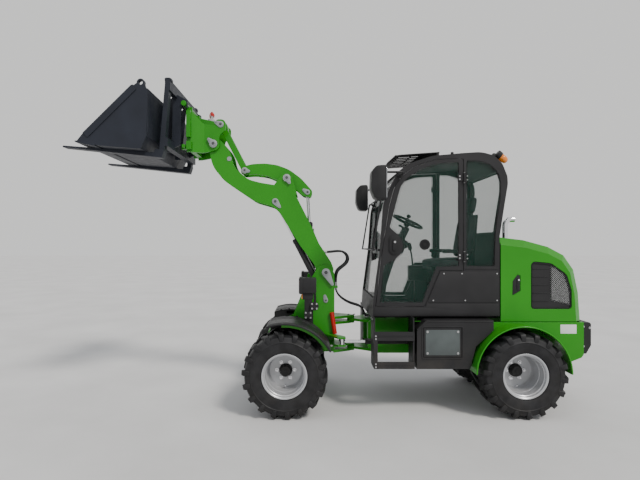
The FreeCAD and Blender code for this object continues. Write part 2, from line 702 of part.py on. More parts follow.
def cab_inside():
    cushion = block("seat_cushion", (-1200, -760), (-235, 235), (1330, 1440))
    base = block("seat_base", (-1160, -820), (-180, 180), ("cab_floor_z + cab_wall", 1330))
    back = plate("seat_back", "XZ", [[(-1200, 1440), (-1100, 1440), (-1180, 1900), (-1270, 1900)]],
                 (-225, 225))
    head = plate("seat_head", "XZ", [[(-1262, 1900), (-1190, 1900), (-1215, 2080), (-1285, 2080)]],
                 (-140, 140))
    node("seat", [fused("seat_all", [cushion, base, back, head])])
    column = plate("column", "XZ", [[(-330, "cab_floor_z + cab_wall"), (-250, "cab_floor_z + cab_wall"),
                                     (-560, 1770), (-600, 1750)]], (-60, 60))
    wheel = doc.addObject("Part::Torus", "steering_ring")
    wheel.Radius1 = 155
    wheel.Radius2 = 13
    wheel.Placement = FreeCAD.Placement(STEERING_WHEEL, FreeCAD.Rotation(Vector(0, 1, 0), -25))
    spoke = doc.addObject("Part::Box", "steering_spoke")
    spoke.Length = 310
    spoke.Width = 30
    spoke.Height = 10
    turn = FreeCAD.Rotation(Vector(0, 1, 0), -25)
    spoke.Placement = FreeCAD.Placement(
        STEERING_WHEEL + turn.multVec(Vector(-155, -15, -5)), turn)
    hub = doc.addObject("Part::Cylinder", "steering_hub")
    hub.Radius = 30
    hub.Height = 60
    hub.Placement = FreeCAD.Placement(STEERING_WHEEL + turn.multVec(Vector(0, 0, -60)), turn)
    node("console", [fused("console_all", [column, wheel, spoke, hub])])


def cab_outside():
    housings = []
    for side in (1, -1):
        y = cell("mirror_y") * side
        name = "mirror_%s" % ("left" if side > 0 else "right")
        head = plate(name + "_head", "XZ", [MIRROR_OUTLINE], (y - 85, y + 85))
        low, high = sorted((side * cell("cab_half_width"), y))
        arm = rod(name + "_arm", "Y", -415, (low, high), 2230, 10)
        reach = block(name + "_reach", (-425, "mirror_x - 40"), (y - 9, y + 9), (2221, 2239))
        housings.append(fused(name, [head, arm, reach]))
    node("mirrors", housings)
    front_guard()
    foot_profile = [(0, 0), (0, 42), (46, 42, 6), (46, 0)]
    lamp_profile = [(46, 0), (46, 36), (120, 34, 14), (128, 0)]
    foot = aimed(turned("beacon_foot", "X", foot_profile, (0, 0, 0)), *BEACON)
    lamp = aimed(turned("beacon_lamp", "X", lamp_profile, (0, 0, 0)), *BEACON)
    bracket = plate("beacon_bracket", "XZ", [[(-1312, 2420), (-1372, 2361), (-1392, 2400),
                                              (-1380, 2450), (-1340, 2460)]], (394, 406))
    node("beacon", [fused("beacon_all", [foot, lamp, bracket])])


MIRROR_OUTLINE = [
    ("mirror_x - 50", "mirror_z - 155", 12), ("mirror_x - 50", "mirror_z + 155", 12),
    ("mirror_x + 40", "mirror_z + 150", 50), ("mirror_x + 84", "mirror_z + 100", 60),
    ("mirror_x + 90", "mirror_z - 60", 120), ("mirror_x + 52", "mirror_z - 150", 60)]
BEACON = (-1365, 400, 2455, 219)
GUARD_LINE = [(-304, 2100), (-309, 2362), (-394, 2438), (-815, 2466)]


HOOP_STUBS = (-228.2, -280)


def front_guard():
    """Perforated visor over the roof's front, and a hoop before the windscreen."""
    band = ([(x, z) for x, z in GUARD_LINE] + [(x - 2, z - 5) for x, z in reversed(GUARD_LINE[1:])]
            + [(GUARD_LINE[0][0] - 5, GUARD_LINE[0][1])])
    sheet_band = plate("guard_sheet", "XZ", [band], (-400, 400))
    slots = []
    for number in range(7):
        y = -342 + 98 * number
        slots.append(block("guard_slot_front%d" % number, (-340, -290), (y, y + 62), (2150, 2330)))
        slots.append(block("guard_slot_top%d" % number, (-640, -440), (y, y + 62), (2400, 2500)))
    legs = both(block("guard_rear_leg", (-812, -788), (370, 400), (2425.5, 2463)))
    legs += both(plate("guard_front_leg", "XZ", [[(-306, 2100), (-315.6, 2100), (-324.4, 2120),
                                                  (-306, 2120)]], (370, 400)))
    hoop = both(plate("hoop_side", "XZ", [[(-158, 1523), (-172, 1523), (-253, 2037), (-239, 2037)]],
                      (463, 477)))
    for number, (x, z) in enumerate(((-165, 1530), (-246, 2030))):
        hoop.append(rod("hoop_bar%d" % number, "Y", x, (-470, 470), z, 6.8))
        hoop += both(rod("hoop_stub%d" % number, "X", (HOOP_STUBS[number], x), 470, z, 6.2))
    node("front_guard", [fused("visor", [cut("guard_cut", sheet_band, slots)] + legs),
                         fused("hoop", hoop)])


# Hood

HOOD_PROFILE = [
    ("hood_front_x", "deck_z + 5"), ("hood_front_x", 1650), ("rear_axle_x - 95", 1622),
    ("rear_axle_x - 330", 1558), ("rear_axle_x - 480", 1478), ("rear_axle_x - 575", 1340),
    ("rear_axle_x - 620", 1120), ("hood_rear_x", "deck_z + 5")]


def bevelled_prism(name, profile, half_width, bevel):
    """A prism along Y whose upper and rear edges are bevelled like the hood's shoulder."""
    body = plate(name, "XZ", [profile], (-half_width, half_width))
    doc.recompute()
    chosen = []
    for number, edge in enumerate(body.Shape.Edges, start=1):
        ends = [v.Point for v in edge.Vertexes]
        lies_on_side = abs(abs(ends[0].y) - half_width) < 1e-3 and abs(ends[0].y - ends[1].y) < 1e-3
        level = max(p.z for p in ends)
        upright_front = abs(ends[0].x - ends[1].x) < 1 and ends[0].x > cell("hood_front_x") - 100
        if lies_on_side and not upright_front and level > cell("deck_z") + 20:
            chosen.append((number, bevel, bevel))
    chamfer = doc.addObject("Part::Chamfer", name + "_bevel")
    chamfer.Base = body
    chamfer.Edges = chosen
    return chamfer


GRILLE_OUTLINE = [
    ("rear_axle_x - 141", 973, 30), ("rear_axle_x - 141", 1423, 40), ("rear_axle_x - 330", 1405, 90),
    ("rear_axle_x - 478", 1300, 90), ("rear_axle_x - 524", 1150, 60), ("rear_axle_x - 526", 973, 30)]
HANDLE_OUTLINE = [
    ("rear_axle_x - 13", 1300), ("rear_axle_x - 43", 1288), ("rear_axle_x - 43", 1140),
    ("rear_axle_x + 25", 1099), ("rear_axle_x + 37", 1103), ("rear_axle_x + 34", 1237)]


def hood():
    sheet_wall = cell("hood_sheet")
    half = cell("cab_half_width")
    bevel = cell("hood_bevel")
    outer = bevelled_prism("hood_outer", HOOD_PROFILE, half, bevel)
    inner_profile = inset(HOOD_PROFILE, sheet_wall)
    inner_profile[0] = (inner_profile[0][0] + 3 * sheet_wall, inner_profile[0][1] - 3 * sheet_wall)
    inner_profile[1] = (inner_profile[1][0] + 3 * sheet_wall, inner_profile[1][1] + 6)
    inner_profile[-1] = (inner_profile[-1][0], inner_profile[-1][1] - 3 * sheet_wall)
    inner = bevelled_prism("hood_inner", inner_profile, half - sheet_wall,
                           bevel - (2 - math.sqrt(2)) * sheet_wall)
    grille = plate("hood_grille_cut", "XZ", [GRILLE_OUTLINE], (-half - 1, half + 1))
    notch = block("hood_notch", ("rear_axle_x - 60", -1300), (160, 240), (1500, 1700))
    recess = both(plate("hood_recess", "XZ", [HANDLE_OUTLINE], (half - 6, half + 1)))
    arms = both(block("hood_arm", ("hood_hinge_x", "hood_rear_x + 5"), (150, 180),
                      ("hood_hinge_z - 10", "hood_hinge_z + 10")))
    knuckles = both(rod("hood_knuckle", "Y", "hood_hinge_x", (150, 180), "hood_hinge_z", 14))
    pin_holes = both(rod("hood_pin_hole", "Y", "hood_hinge_x", (140, 190), "hood_hinge_z", 6.2))
    shell = cut("hood_shell", outer, [inner, grille, notch] + recess)
    node("hood", [cut("hood_hinged", fused("hood_all", [shell] + arms + knuckles), pin_holes)])
    node("hood_grilles", both(plate("grille_mesh", "XZ", [inset(GRILLE_OUTLINE, 0.3)],
                                    (half - sheet_wall, half - sheet_wall + 4))))


# Front frame

def front_frame():
    pivot = ("boom_pivot_x", "boom_pivot_z")
    tower_outline = [("tower_rear_x", 500), ("tower_rear_x", 1290, 60), (250, 1382, 60),
                     (350, 1362, 60), (522, 1051), (613, 829), (840, 720), (880, 500)]
    outer_y = "tower_inner_y + tower_plate"
    tower = plate("tower", "XZ", [tower_outline], ("tower_inner_y", outer_y))
    boss = rod("tower_boss", "Y", pivot[0], (outer_y, outer_y + " + 12"), pivot[1], 60)
    sides = both(fused("tower_left", [tower, boss]))
    floor = block("front_floor", ("tower_rear_x", 880), ("-tower_inner_y", "tower_inner_y"),
                  (500, 520))
    rear = block("front_rear_sheet", ("tower_rear_x", "tower_rear_x + 16"),
                 ("-tower_inner_y", "tower_inner_y"), (520, 860))
    nose = block("front_nose", (840, 856), ("-tower_inner_y", "tower_inner_y"), (520, 700))
    ears = []
    for number, z in enumerate(EAR_LEVELS):
        for part, low in (("low", z - 3 - EAR_PLATE), ("high", z + EAR_PLATE + 3)):
            ears.append(plate("front_ear%d_%s" % (number, part), "XY",
                              [[("tower_rear_x + 10", -150), (60, -75, 60), (-80, 0, 70),
                                (60, 75, 60), ("tower_rear_x + 10", 150)]],
                              (low, low + EAR_PLATE)))
        ears.append(rod("ear_pin%d" % number, "Z", 0, 0,
                        (z - 3 - EAR_PLATE, z + EAR_PLATE * 2 + 3), "ear_pin_radius"))
    bracket = []
    for part, low in (("low", "steer_z - 44"), ("high", "steer_z + 30")):
        bracket.append(plate("steer_front_" + part, "XY",
                             [[("tower_rear_x + 100", outer_y), ("steer_front_x + 40", "steer_front_y + 35"),
                               ("steer_front_x - 35", "steer_front_y + 35"),
                               ("steer_front_x - 35", "steer_front_y - 30"),
                               ("tower_rear_x + 1", outer_y)]],
                             (low, low + " + 14")))
    inner = both(plate("tilt_bracket", "XZ", [[(300, 520), (345, 1230), (370, 1290, 30),
                                               (420, 1315, 40), (455, 1270, 30), (520, 900),
                                               (600, 520)],
                                              hole("tilt_base_x", "tilt_base_z", 20)], (40, 52)))
    lift_lugs = both(plate("lift_lug", "XZ", [[("tower_rear_x + 14", 940), ("tower_rear_x + 14", 1080),
                                               (310, 1070, 30), (340, 1000, 30), (300, 940)],
                                              hole("lift_base_x", "lift_base_z", 20)], (128, 152)))
    cylinder_pins = [
        rod("tilt_base_pin", "Y", "tilt_base_x", (-56, 56), "tilt_base_z", 20),
        rod("lift_base_pin", "Y", "lift_base_x", (-152, 152), "lift_base_z", 20)]
    boom_pin = both(rod("boom_pin_stub", "Y", "boom_pivot_x",
                        ("boom_inner_y - 60", outer_y + " + 20"), "boom_pivot_z", "pin_radius"))
    bulkhead = block("hose_bulkhead", (150, 200), ("-tower_inner_y", "tower_inner_y"), (1140, 1160))
    pieces = sides + [floor, rear, nose, bulkhead] + ears + bracket + inner + lift_lugs
    node("front_frame", [fused("front_frame_all", pieces + cylinder_pins + boom_pin)])


FENDER_RADIUS = "tyre_diameter / 2 + 82.5"


def front_fenders():
    axle_x = "front_axle_x"
    outer = rod("fender_outer", "Y", axle_x, (250, 730), "tyre_diameter / 2", FENDER_RADIUS)
    inner = rod("fender_inner", "Y", axle_x, (249, 731), "tyre_diameter / 2",
                FENDER_RADIUS + " - 12")
    keep = block("fender_keep", ("front_axle_x - 446", "front_axle_x + 165"), (250, 730), (617, 900))
    skin = common("fender_skin", cut("fender_ring", outer, [inner]), keep)
    disc = rod("fender_disc", "Y", axle_x, (250, 262), "tyre_diameter / 2", FENDER_RADIUS)
    wall = common("fender_wall", disc, block("fender_wall_keep", ("front_axle_x - 400",
                  "front_axle_x + 165"), (250, 262), (560, 900)))
    stay = block("fender_stay", (430, 620), ("tower_inner_y + tower_plate", 250), (640, 660))
    bracket = block("fender_bracket", (400, 480), (250, 262), (700, 960))
    node("front_fenders", both(fused("fender", [skin, wall, stay, bracket])))


PROP_RADIUS = 22
PROP_LEAN = 261.3


def head_lamps():
    lamps = []
    box = block("lamp_box", (371, 527), (420, 576), (1126, 1268))
    post = rod("lamp_post", "Z", 440, 276.5, (870, 1160), 14)
    arm = rod("lamp_arm", "Y", 440, (276.5, 421), 1140, 11)
    clamps = [block("lamp_clamp%d" % number, (415, 465), (262, 292), (z, z + 16))
              for number, z in enumerate((890, 935))]
    signal = block("lamp_signal", (400, 500), (440, 550), (1066, 1126))
    lamps += both(fused("lamp", [box, post, arm, signal] + clamps))
    node("head_lamps", lamps)
    prop = turned("prop", "X", [(0, 0), (0, PROP_RADIUS), (216, PROP_RADIUS), (216, 0)], (0, 0, 0))
    prop_y = cell("tower_inner_y") + cell("tower_plate") + PROP_RADIUS
    node("boom_lock", [aimed(prop, 213, prop_y, 897, PROP_LEAN)])


# Boom and linkage

BOOM_OUTLINE = [
    (190, 1330, 60), (218, 1402), (341, 1590), (412, 1754), (576, 2081), (604, 2128, 60),
    (676, 2165, 150), (937, 2208, 300), (1060, 2240, 200), (1206, 2365, 200), (1240, 2530, 250),
    (1345, 2645, 50), (1440, 2650, 50), (1462, 2560, 80), (1420, 2370, 300), (1300, 2225, 250),
    (996, 2020, 200), (798, 1962, 120), (735, 1895, 200), (532, 1568), (386, 1373, 200),
    (340, 1250, 60), (215, 1235, 50)]


def boom():
    outer_y = "boom_inner_y + boom_plate"
    ear = [(560, 2080), (620, 2290, 40), (720, 2290, 40), (800, 2180)]
    side = fused("boom_side", [
        plate("boom_plate_side", "XZ", [BOOM_OUTLINE], ("boom_inner_y", outer_y)),
        plate("boom_ear", "XZ", [ear], ("boom_inner_y", outer_y))])
    tubes = [
        rod("boom_hub", "Y", "boom_pivot_x", ("-(boom_inner_y + boom_plate) - 6", outer_y + " + 6"),
            "boom_pivot_z", 45),
        rod("boom_tip_tube", "Y", "tip_x", ("-boom_inner_y", "boom_inner_y"), "tip_z", 38),
        rod("boom_tie", "Y", 585, ("-boom_inner_y", "boom_inner_y"), 1850, 30),
        rod("boom_tie_front", "Y", 1235, ("-boom_inner_y", "boom_inner_y"), 2300, 30)]
    bores = [
        rod("boom_hub_bore", "Y", "boom_pivot_x", (-200, 200), "boom_pivot_z",
            "pin_radius + pin_play"),
        rod("boom_tip_bore", "Y", "tip_x", (-200, 200), "tip_z", "pin_radius + pin_play"),
        rod("boom_lever_bore", "Y", "lever_x", (-200, 200), "lever_z", "pin_radius + pin_play")]
    clamp = both(block("hose_clamp", (292, 324), (72, "boom_inner_y"), (1496, 1520)))
    node("boom", [cut("boom_cut", fused("boom_all", both(side) + tubes + clamp), bores)])


def pins():
    reach = "boom_inner_y + boom_plate"
    node("lever_pin", [fused("lever_pin_all", [
        rod("lever_pin_rod", "Y", "lever_x", ("-(%s) - 12" % reach, reach + " + 12"), "lever_z",
            "pin_radius")] + both(rod("lever_pin_head", "Y", "lever_x", (reach + " + 1", reach + " + 14"),
                                      "lever_z", 38)))])
    node("tip_pin", [fused("tip_pin_all", [
        rod("tip_pin_rod", "Y", "tip_x", ("-(%s) - 40" % reach, reach + " + 40"), "tip_z",
            "pin_radius")] + both(rod("tip_pin_head", "Y", "tip_x", (reach + " + 30", reach + " + 44"),
                                      "tip_z", 40)))])
    lever_reach = "lever_inner_y + lever_plate"
    node("link_pin", [fused("link_pin_all", [
        rod("link_pin_rod", "Y", "lever_front_x", ("-(%s) - 10" % lever_reach, lever_reach + " + 10"),
            "lever_front_z", 20)] + both(rod("link_pin_head", "Y", "lever_front_x",
                                             (lever_reach + " + 1", lever_reach + " + 12"),
                                             "lever_front_z", 32)))])


LEVER_OUTLINE = [
    (1140, 2376, 40), (1020, 2406, 300), (896, 2412, 300), (772, 2396, 300), (648, 2350, 300),
    (522, 2257, 300), (405, 2125, 40), (425, 2062, 30), (500, 2080, 30), (600, 2168),
    (616, 2152, 12), (728, 2190, 12), (740, 2228, 30), (872, 2284, 300), (996, 2300, 300),
    (1140, 2290, 40)]


def lever():
    outer_y = "lever_inner_y + lever_plate"
    sides = both(plate("lever_side", "XZ", [LEVER_OUTLINE], ("lever_inner_y", outer_y)))
    hub = rod("lever_hub", "Y", "lever_x", ("-boom_inner_y + 3", "boom_inner_y - 3"), "lever_z", 45)
    tie = rod("lever_tie", "Y", 860, ("-lever_inner_y", "lever_inner_y"), 2320, 22)
    bores = [
        rod("lever_hub_bore", "Y", "lever_x", (-200, 200), "lever_z", "pin_radius + pin_play"),
        rod("lever_front_bore", "Y", "lever_front_x", (-200, 200), "lever_front_z",
            "20 + pin_play")]
    node("lever", [cut("lever_cut", fused("lever_all", sides + [hub, tie]), bores)])


def link():
    start = Vector(cell("lever_front_x"), 0, cell("lever_front_z"))
    end = Vector(cell("carrier_top_x"), 0, cell("carrier_top_z"))
    along = end - start
    angle = math.degrees(math.atan2(along.z, along.x))
    length = along.Length
    half = 30
    round_end = half - 1
    outline = [(-half, -half, round_end), (length + half, -half, round_end),
               (length + half, half, round_end), (-half, half, round_end)]
    bars = []
    for side in (1, -1):
        low = cell("link_inner_y") if side > 0 else -cell("link_inner_y") - cell("link_plate")
        name = "link_bar_%s" % ("left" if side > 0 else "right")
        body = plate(name, "XZ", [outline, hole(0, 0, "20 + pin_play")], (0, cell("link_plate")))
        body.Placement = FreeCAD.Placement(Vector(start.x, low + cell("link_plate"), start.z),
                                           FreeCAD.Rotation(Vector(0, -1, 0), angle))
        bars.append(body)
    middle = start + along * 0.35
    tie = rod("link_tie", "Y", middle.x, ("-link_inner_y", "link_inner_y"), middle.z, 18)
    node("link", [fused("link_all", bars + [tie])])


CARRIER_CHEEK = [
    (1655, 2937), (1626, 2930, 20), (1512, 2800, 60), (1400, 2786), (1385, 2845, 45),
    (1285, 2845, 45), (1285, 2740, 45), (1350, 2680, 60), (1348, 2545, 50), (1430, 2520, 60),
    (1518, 2503), (1655, 2500)]


def carrier():
    low_y = "boom_inner_y + boom_plate + 8"
    flared = [(1250, low_y), (1507, low_y), (1625, low_y + " + 84"), (1655, low_y + " + 84"),
              (1655, low_y + " + 102"), (1617, low_y + " + 102"), (1500, low_y + " + 18"),
              (1250, low_y + " + 18")]
    cheek = common("carrier_cheek", plate("cheek_plan", "XY", [flared], (2490, 2940)),
                   plate("cheek_side", "XZ", [CARRIER_CHEEK], (low_y, low_y + " + 102")))
    cheeks = both(cheek)
    ear = plate("carrier_ear", "XZ", [[(1280, 2760, 20), (1300, 2850, 40), (1400, 2850, 30),
                                       (1620, 2900), (1640, 2780), (1400, 2730, 30)]], (-38, 38))
    back = block("carrier_back", (1610, 1650), (-300, 300), (2640, 2900))
    hook = rod("carrier_hook", "Y", "hook_x", (-320, 320), "hook_z", "hook_radius")
    hook_web = both(block("carrier_hook_web", (1620, "hook_x + 12"), (150, 180), (2890, "hook_z")))
    foot = block("carrier_foot", (1600, 1650), (-300, 300), (2520, 2600))
    post = both(block("carrier_post", (1610, 1650), (180, 220), (2520, 2760)))
    bore = rod("carrier_bore", "Y", "tip_x", (-300, 300), "tip_z", "pin_radius + pin_play")
    node("carrier", [cut("carrier_cut", fused("carrier_all", cheeks + [ear, back, hook, foot]
                                              + hook_web + post), [bore])])


def tools():
    uprights = both(plate("fork_upright", "XZ", [[(1740, 3139), (1780, 3139), (1838, 2469),
                                                  (1790, 2469)]], (460, 540)))
    rails = [block("fork_rail_top", (1735, 1785), (-540, 540), (3020, 3120)),
             block("fork_rail_low", (1760, 1825), (-540, 540), (2500, 2580))]
    hook = plate("fork_hook", "XZ", [[(1780, 3080), (1700, 3030), (1636, 3000), (1636, 2930),
                                      (1700, 2920), (1706, 2560), (1790, 2520)]], (270, 300))
    seat = rod("hook_seat", "Y", "hook_x", (269, 301), "hook_z", "hook_radius + fit_gap")
    slot = block("hook_slot", ("hook_x - hook_radius - fit_gap", "hook_x + hook_radius + fit_gap"),
                 (269, 301), (2900, "hook_z"))
    hooks = both(cut("fork_hook_cut", hook, [seat, slot]))
    node("fork_frame", [fused("fork_frame_all", uprights + rails + hooks)])
    fork = [("fork_heel_x", "fork_heel_z"), ("fork_tip_x", "fork_tip_z"),
            ("fork_tip_x - 6", "fork_tip_z + 14"), ("fork_heel_x + 70", "fork_heel_z + 48"),
            ("fork_heel_x + 62", 2469), ("fork_heel_x - 25", 2469)]
    node("forks", both(plate("fork", "XZ", [fork],
                             ("fork_half_spread - fork_width / 2", "fork_half_spread + fork_width / 2"))))


BUCKET_SIDE = [(1892, 2987), (2039, 3020), (2476, 2588), (2536, 2512), (2323, 2472.2),
               (1955, 2444), (1905, 2560)]


def bucket():
    outer = plate("bucket_outer", "XZ", [BUCKET_SIDE], ("-bucket_half_width", "bucket_half_width"))
    cavity = inset(BUCKET_SIDE, cell("bucket_sheet"))
    cavity[1] = (2045, 3100)
    cavity[2] = (2560, 2590)
    cavity[3] = (2560, 2530)
    cavity[0] = (1902, 3100)
    room = plate("bucket_room", "XZ", [cavity],
                 ("-bucket_half_width + bucket_sheet", "bucket_half_width - bucket_sheet"))
    eyes = both(rod("bucket_eye", "Y", "bucket_eye_x", ("bucket_half_width - 40", "bucket_half_width"),
                    "bucket_eye_z", 35))
    edge = both(plate("bucket_edge", "XZ", [[(2039, 3020), (2476, 2588), (2434, 2545), (1997, 2977)]],
                      ("bucket_half_width", "bucket_half_width + 8")))
    ears = both(plate("bucket_ear", "XZ", [[(1900, 2960), (1924, 3040), (1990, 3040), (2030, 3010),
                                            (2030, 2960)]],
                      ("bucket_half_width - 25", "bucket_half_width")))
    holes = both(rod("bucket_eye_hole", "Y", "bucket_eye_x",
                     ("bucket_half_width - 95", "bucket_half_width + 25"), "bucket_eye_z", 20))
    ribs = both(plate("bucket_rib", "XZ", [[(1785.5, 3060), (1800, 3060), (1896, 2960),
                                            (1908, 2560), (1900, 2500), (1825.5, 2500),
                                            (1825.5, 2585), (1785.5, 3015)]],
                      (200, 220)))
    node("bucket", [cut("bucket_eyes_cut", fused("bucket_all", [cut("bucket_shell", outer, [room])]
                                                 + eyes + edge + ears + ribs), holes)])


# Cylinders

def cylinder_profiles(barrel_radius, barrel_length, rod_length):
    """Profiles along the cylinder's own X axis: barrel from its base pin, rod from its eye."""
    wall = 6
    gland = 30
    play = 0.3
    inner = barrel_radius - wall
    stem = cell("rod_radius")
    barrel = [(25, 0), (25, barrel_radius), (barrel_length, barrel_radius),
              (barrel_length, stem + play), (barrel_length - gland, stem + play),
              (barrel_length - gland, inner), (48, inner), (48, 0)]
    piston = [(-rod_length, 0), (-rod_length, inner - play), (-rod_length + 25, inner - play),
              (-rod_length + 25, stem), (-20, stem), (-20, 0)]
    return barrel, piston


def aimed(body, x, y, z, angle):
    body.Placement = FreeCAD.Placement(Vector(x, y, z), FreeCAD.Rotation(Vector(0, -1, 0), angle))
    return body


def cylinder_pair(name, base, eye, offsets, barrel_radius, barrel_length, rod_length, half_width,
                  base_pin):
    """Barrel with an eye on its base pin, and a rod whose eye stands at the moving pin."""
    (bx, bz), (ex, ez) = base, eye
    angle = math.degrees(math.atan2(ez - bz, ex - bx))
    barrel_profile, rod_profile = cylinder_profiles(barrel_radius, barrel_length, rod_length)
    barrels, rods = [], []
    for number, y in enumerate(offsets):
        tag = name + "_%d" % number
        tube = aimed(turned(tag + "_tube", "X", barrel_profile, (0, 0, 0)), bx, y, bz, angle)
        lug_round = rod(tag + "_base", "Y", bx, (y - half_width, y + half_width), bz, 36)
        bore = rod(tag + "_bore", "Y", bx, (y - half_width - 1, y + half_width + 1), bz,
                   base_pin + 0.2)
        barrels.append(cut(tag + "_barrel", fused(tag + "_barrel_all", [tube, lug_round]), [bore]))
        stem = aimed(turned(tag + "_stem", "X", rod_profile, (0, 0, 0)), ex, y, ez, angle)
        eye_round = rod(tag + "_eye", "Y", ex, (y - half_width, y + half_width), ez, 34)
        rods.append(fused(tag + "_rod", [stem, eye_round]))
    return barrels, rods


def cylinders():
    lift_y = cell("lift_cylinder_y")
    barrels, rods = cylinder_pair(
        "lift", (cell("lift_base_x"), cell("lift_base_z")), (cell("lift_pin_x"), cell("lift_pin_z")),
        (lift_y, -lift_y), cell("lift_barrel_radius"), 690, 700, 30, 20)
    node("lift_barrels", barrels)
    node("lift_rods", rods)
    barrels, rods = cylinder_pair(
        "tilt", (cell("tilt_base_x"), cell("tilt_base_z")),
        (cell("lever_rear_x"), cell("lever_rear_z")), (0,), cell("tilt_barrel_radius"), 540, 560,
        35, 20)
    node("tilt_barrel", barrels)
    node("tilt_rod", rods)
    rear = Vector(cell("steer_rear_x"), cell("steer_rear_y"), cell("steer_z"))
    front = Vector(cell("steer_front_x"), cell("steer_front_y"), cell("steer_z"))
    along = front - rear
    turn = FreeCAD.Rotation(Vector(0, 0, 1), math.degrees(math.atan2(along.y, along.x)))
    barrel_profile, rod_profile = cylinder_profiles(cell("steer_barrel_radius"), 455, 457)
    tube = turned("steer_tube", "X", barrel_profile, (0, 0, 0))
    tube.Placement = FreeCAD.Placement(rear, turn)
    base = rod("steer_base_eye", "Z", rear.x, rear.y, (rear.z - 27, rear.z + 27), 30)
    bore = rod("steer_base_bore", "Z", rear.x, rear.y, (rear.z - 30, rear.z + 30), 14.2)
    node("steer_barrel", [cut("steer_barrel_cut", fused("steer_barrel_all", [tube, base]), [bore])])
    stem = turned("steer_stem", "X", rod_profile, (0, 0, 0))
    stem.Placement = FreeCAD.Placement(front, turn)
    eye = rod("steer_eye", "Z", front.x, front.y, (front.z - 26, front.z + 26), 30)
    node("steer_rod", [fused("steer_rod_all", [stem, eye])])


BOOM_HOSE = [
    (292, 1502), (238, 1502), (168, 1512), (99, 1514), (52, 1482), (36, 1436), (52, 1389),
    (99, 1351), (145, 1320), (168, 1270), (168, 1160)]
JOINT_HOSE = [
    (162, 1140), (162, 1095), (132, 1048), (84, 1010), (30, 978), (-28, 960), (-82, 945),
    (-116, 915), (-132, 872), (-146, 833), (-180, 833)]


def hoses():
    """Hoses from the tower to the boom, and from the rear frame over the articulation."""
    for label, route, places, radius in (("boom_hoses", BOOM_HOSE, (-111, -84, 84, 111), 11),
                                         ("joint_hoses", JOINT_HOSE, (-60, -20, 20, 60), 9)):
        runs = []
        for number, y in enumerate(places):
            points = [(x, y, z) for x, z in route]
            runs.append(pipe("%s_%d" % (label, number), points, radius))
        node(label, runs)


def tail():
    lamps = both(block("tail_lamp", ("hood_rear_x - 14", "hood_rear_x"), (410, 480), (700, 780)))
    node("counterweight", [counterweight()])
    node("tail_lamps", lamps)


def build():
    wheels()
    axle("front_axle", "front_axle_x", 105, 500)
    axle("rear_axle", "rear_axle_x", 105, "beam_bottom_z")
    rear_chassis()
    rear_machinery()
    rear_body()
    side_boxes()
    steps()
    cab_frame()
    cab_glass()
    cab_inside()
    cab_outside()
    door("door_left", 1)
    door("door_right", -1)
    hood()
    hoses()
    tail()
    front_frame()
    front_fenders()
    head_lamps()
    boom()
    pins()
    lever()
    link()
    carrier()
    tools()
    bucket()
    cylinders()


def check_and_export():
    doc.recompute()
    faults = [o.Name for o in doc.Objects if "Invalid" in o.State or "Error" in o.State]
    if faults:
        raise RuntimeError("failed objects: " + ", ".join(faults))
    for obj in nodes:
        if obj.Shape.isNull() or not obj.Shape.isValid():
            raise RuntimeError("bad shape: " + obj.Label)
    for obj in nodes:
        obj.Shape.exportStep("parts/" + obj.Label + ".step")
        print(obj.Label, len(obj.Shape.Solids), "solids", round(obj.Shape.Volume / 1e6, 2), "litres")


build()
check_and_export()
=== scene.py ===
"""The looks of the compact wheel loader: camera, light, materials and the fine pieces.

The row frame is in metres: X forwards, Y to the machine's left, Z up, floor at 0.
"""
import math

import bmesh
import bpy
from mathutils import Matrix, Vector


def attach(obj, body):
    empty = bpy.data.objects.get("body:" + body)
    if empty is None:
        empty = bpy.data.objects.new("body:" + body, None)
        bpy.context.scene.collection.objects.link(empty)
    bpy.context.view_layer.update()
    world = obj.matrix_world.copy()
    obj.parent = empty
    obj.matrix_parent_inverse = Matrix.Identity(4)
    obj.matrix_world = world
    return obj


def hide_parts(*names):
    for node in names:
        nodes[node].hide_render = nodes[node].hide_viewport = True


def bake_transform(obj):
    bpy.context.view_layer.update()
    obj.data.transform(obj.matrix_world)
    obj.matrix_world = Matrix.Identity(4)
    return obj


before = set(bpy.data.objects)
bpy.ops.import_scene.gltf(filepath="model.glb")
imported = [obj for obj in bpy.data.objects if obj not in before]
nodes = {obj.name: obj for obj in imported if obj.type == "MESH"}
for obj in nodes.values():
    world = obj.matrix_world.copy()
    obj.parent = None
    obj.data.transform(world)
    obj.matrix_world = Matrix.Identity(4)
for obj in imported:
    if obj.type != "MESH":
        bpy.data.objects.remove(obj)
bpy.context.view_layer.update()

REAR, FRONT = "rear_frame", "front_frame"


def new_object(name, data):
    """An object that is linked to the scene."""
    made = bpy.data.objects.new(name, data)
    bpy.context.scene.collection.objects.link(made)
    return made


def feed(socket, value):
    """Links an input to another node's output, or sets the input's own number or colour."""
    if isinstance(value, bpy.types.NodeSocket):
        socket.id_data.links.new(value, socket)
    else:
        socket.default_value = value


def feed_all(node, **values):
    """Feeds a node's inputs by their names, which are written with underscores."""
    for name, value in values.items():
        feed(node.inputs[name.replace("_", " ")], value)
    return node


def new_node(tree, kind, **values):
    return feed_all(tree.nodes.new("ShaderNode" + kind), **values)


# Camera and light

def add_camera():
    """At eye level, square to the machine's left side, and framed as the photograph is."""
    data = bpy.data.cameras.new("camera")
    data.lens = 27.06
    data.sensor_width = 36.0
    data.shift_x = 0.0125
    data.shift_y = 0.00625
    camera = new_object("camera", data)
    camera.location = (0.1805, 5.03, 1.585)
    camera.rotation_euler = (math.radians(90), 0, math.radians(180))
    bpy.context.scene.camera = camera


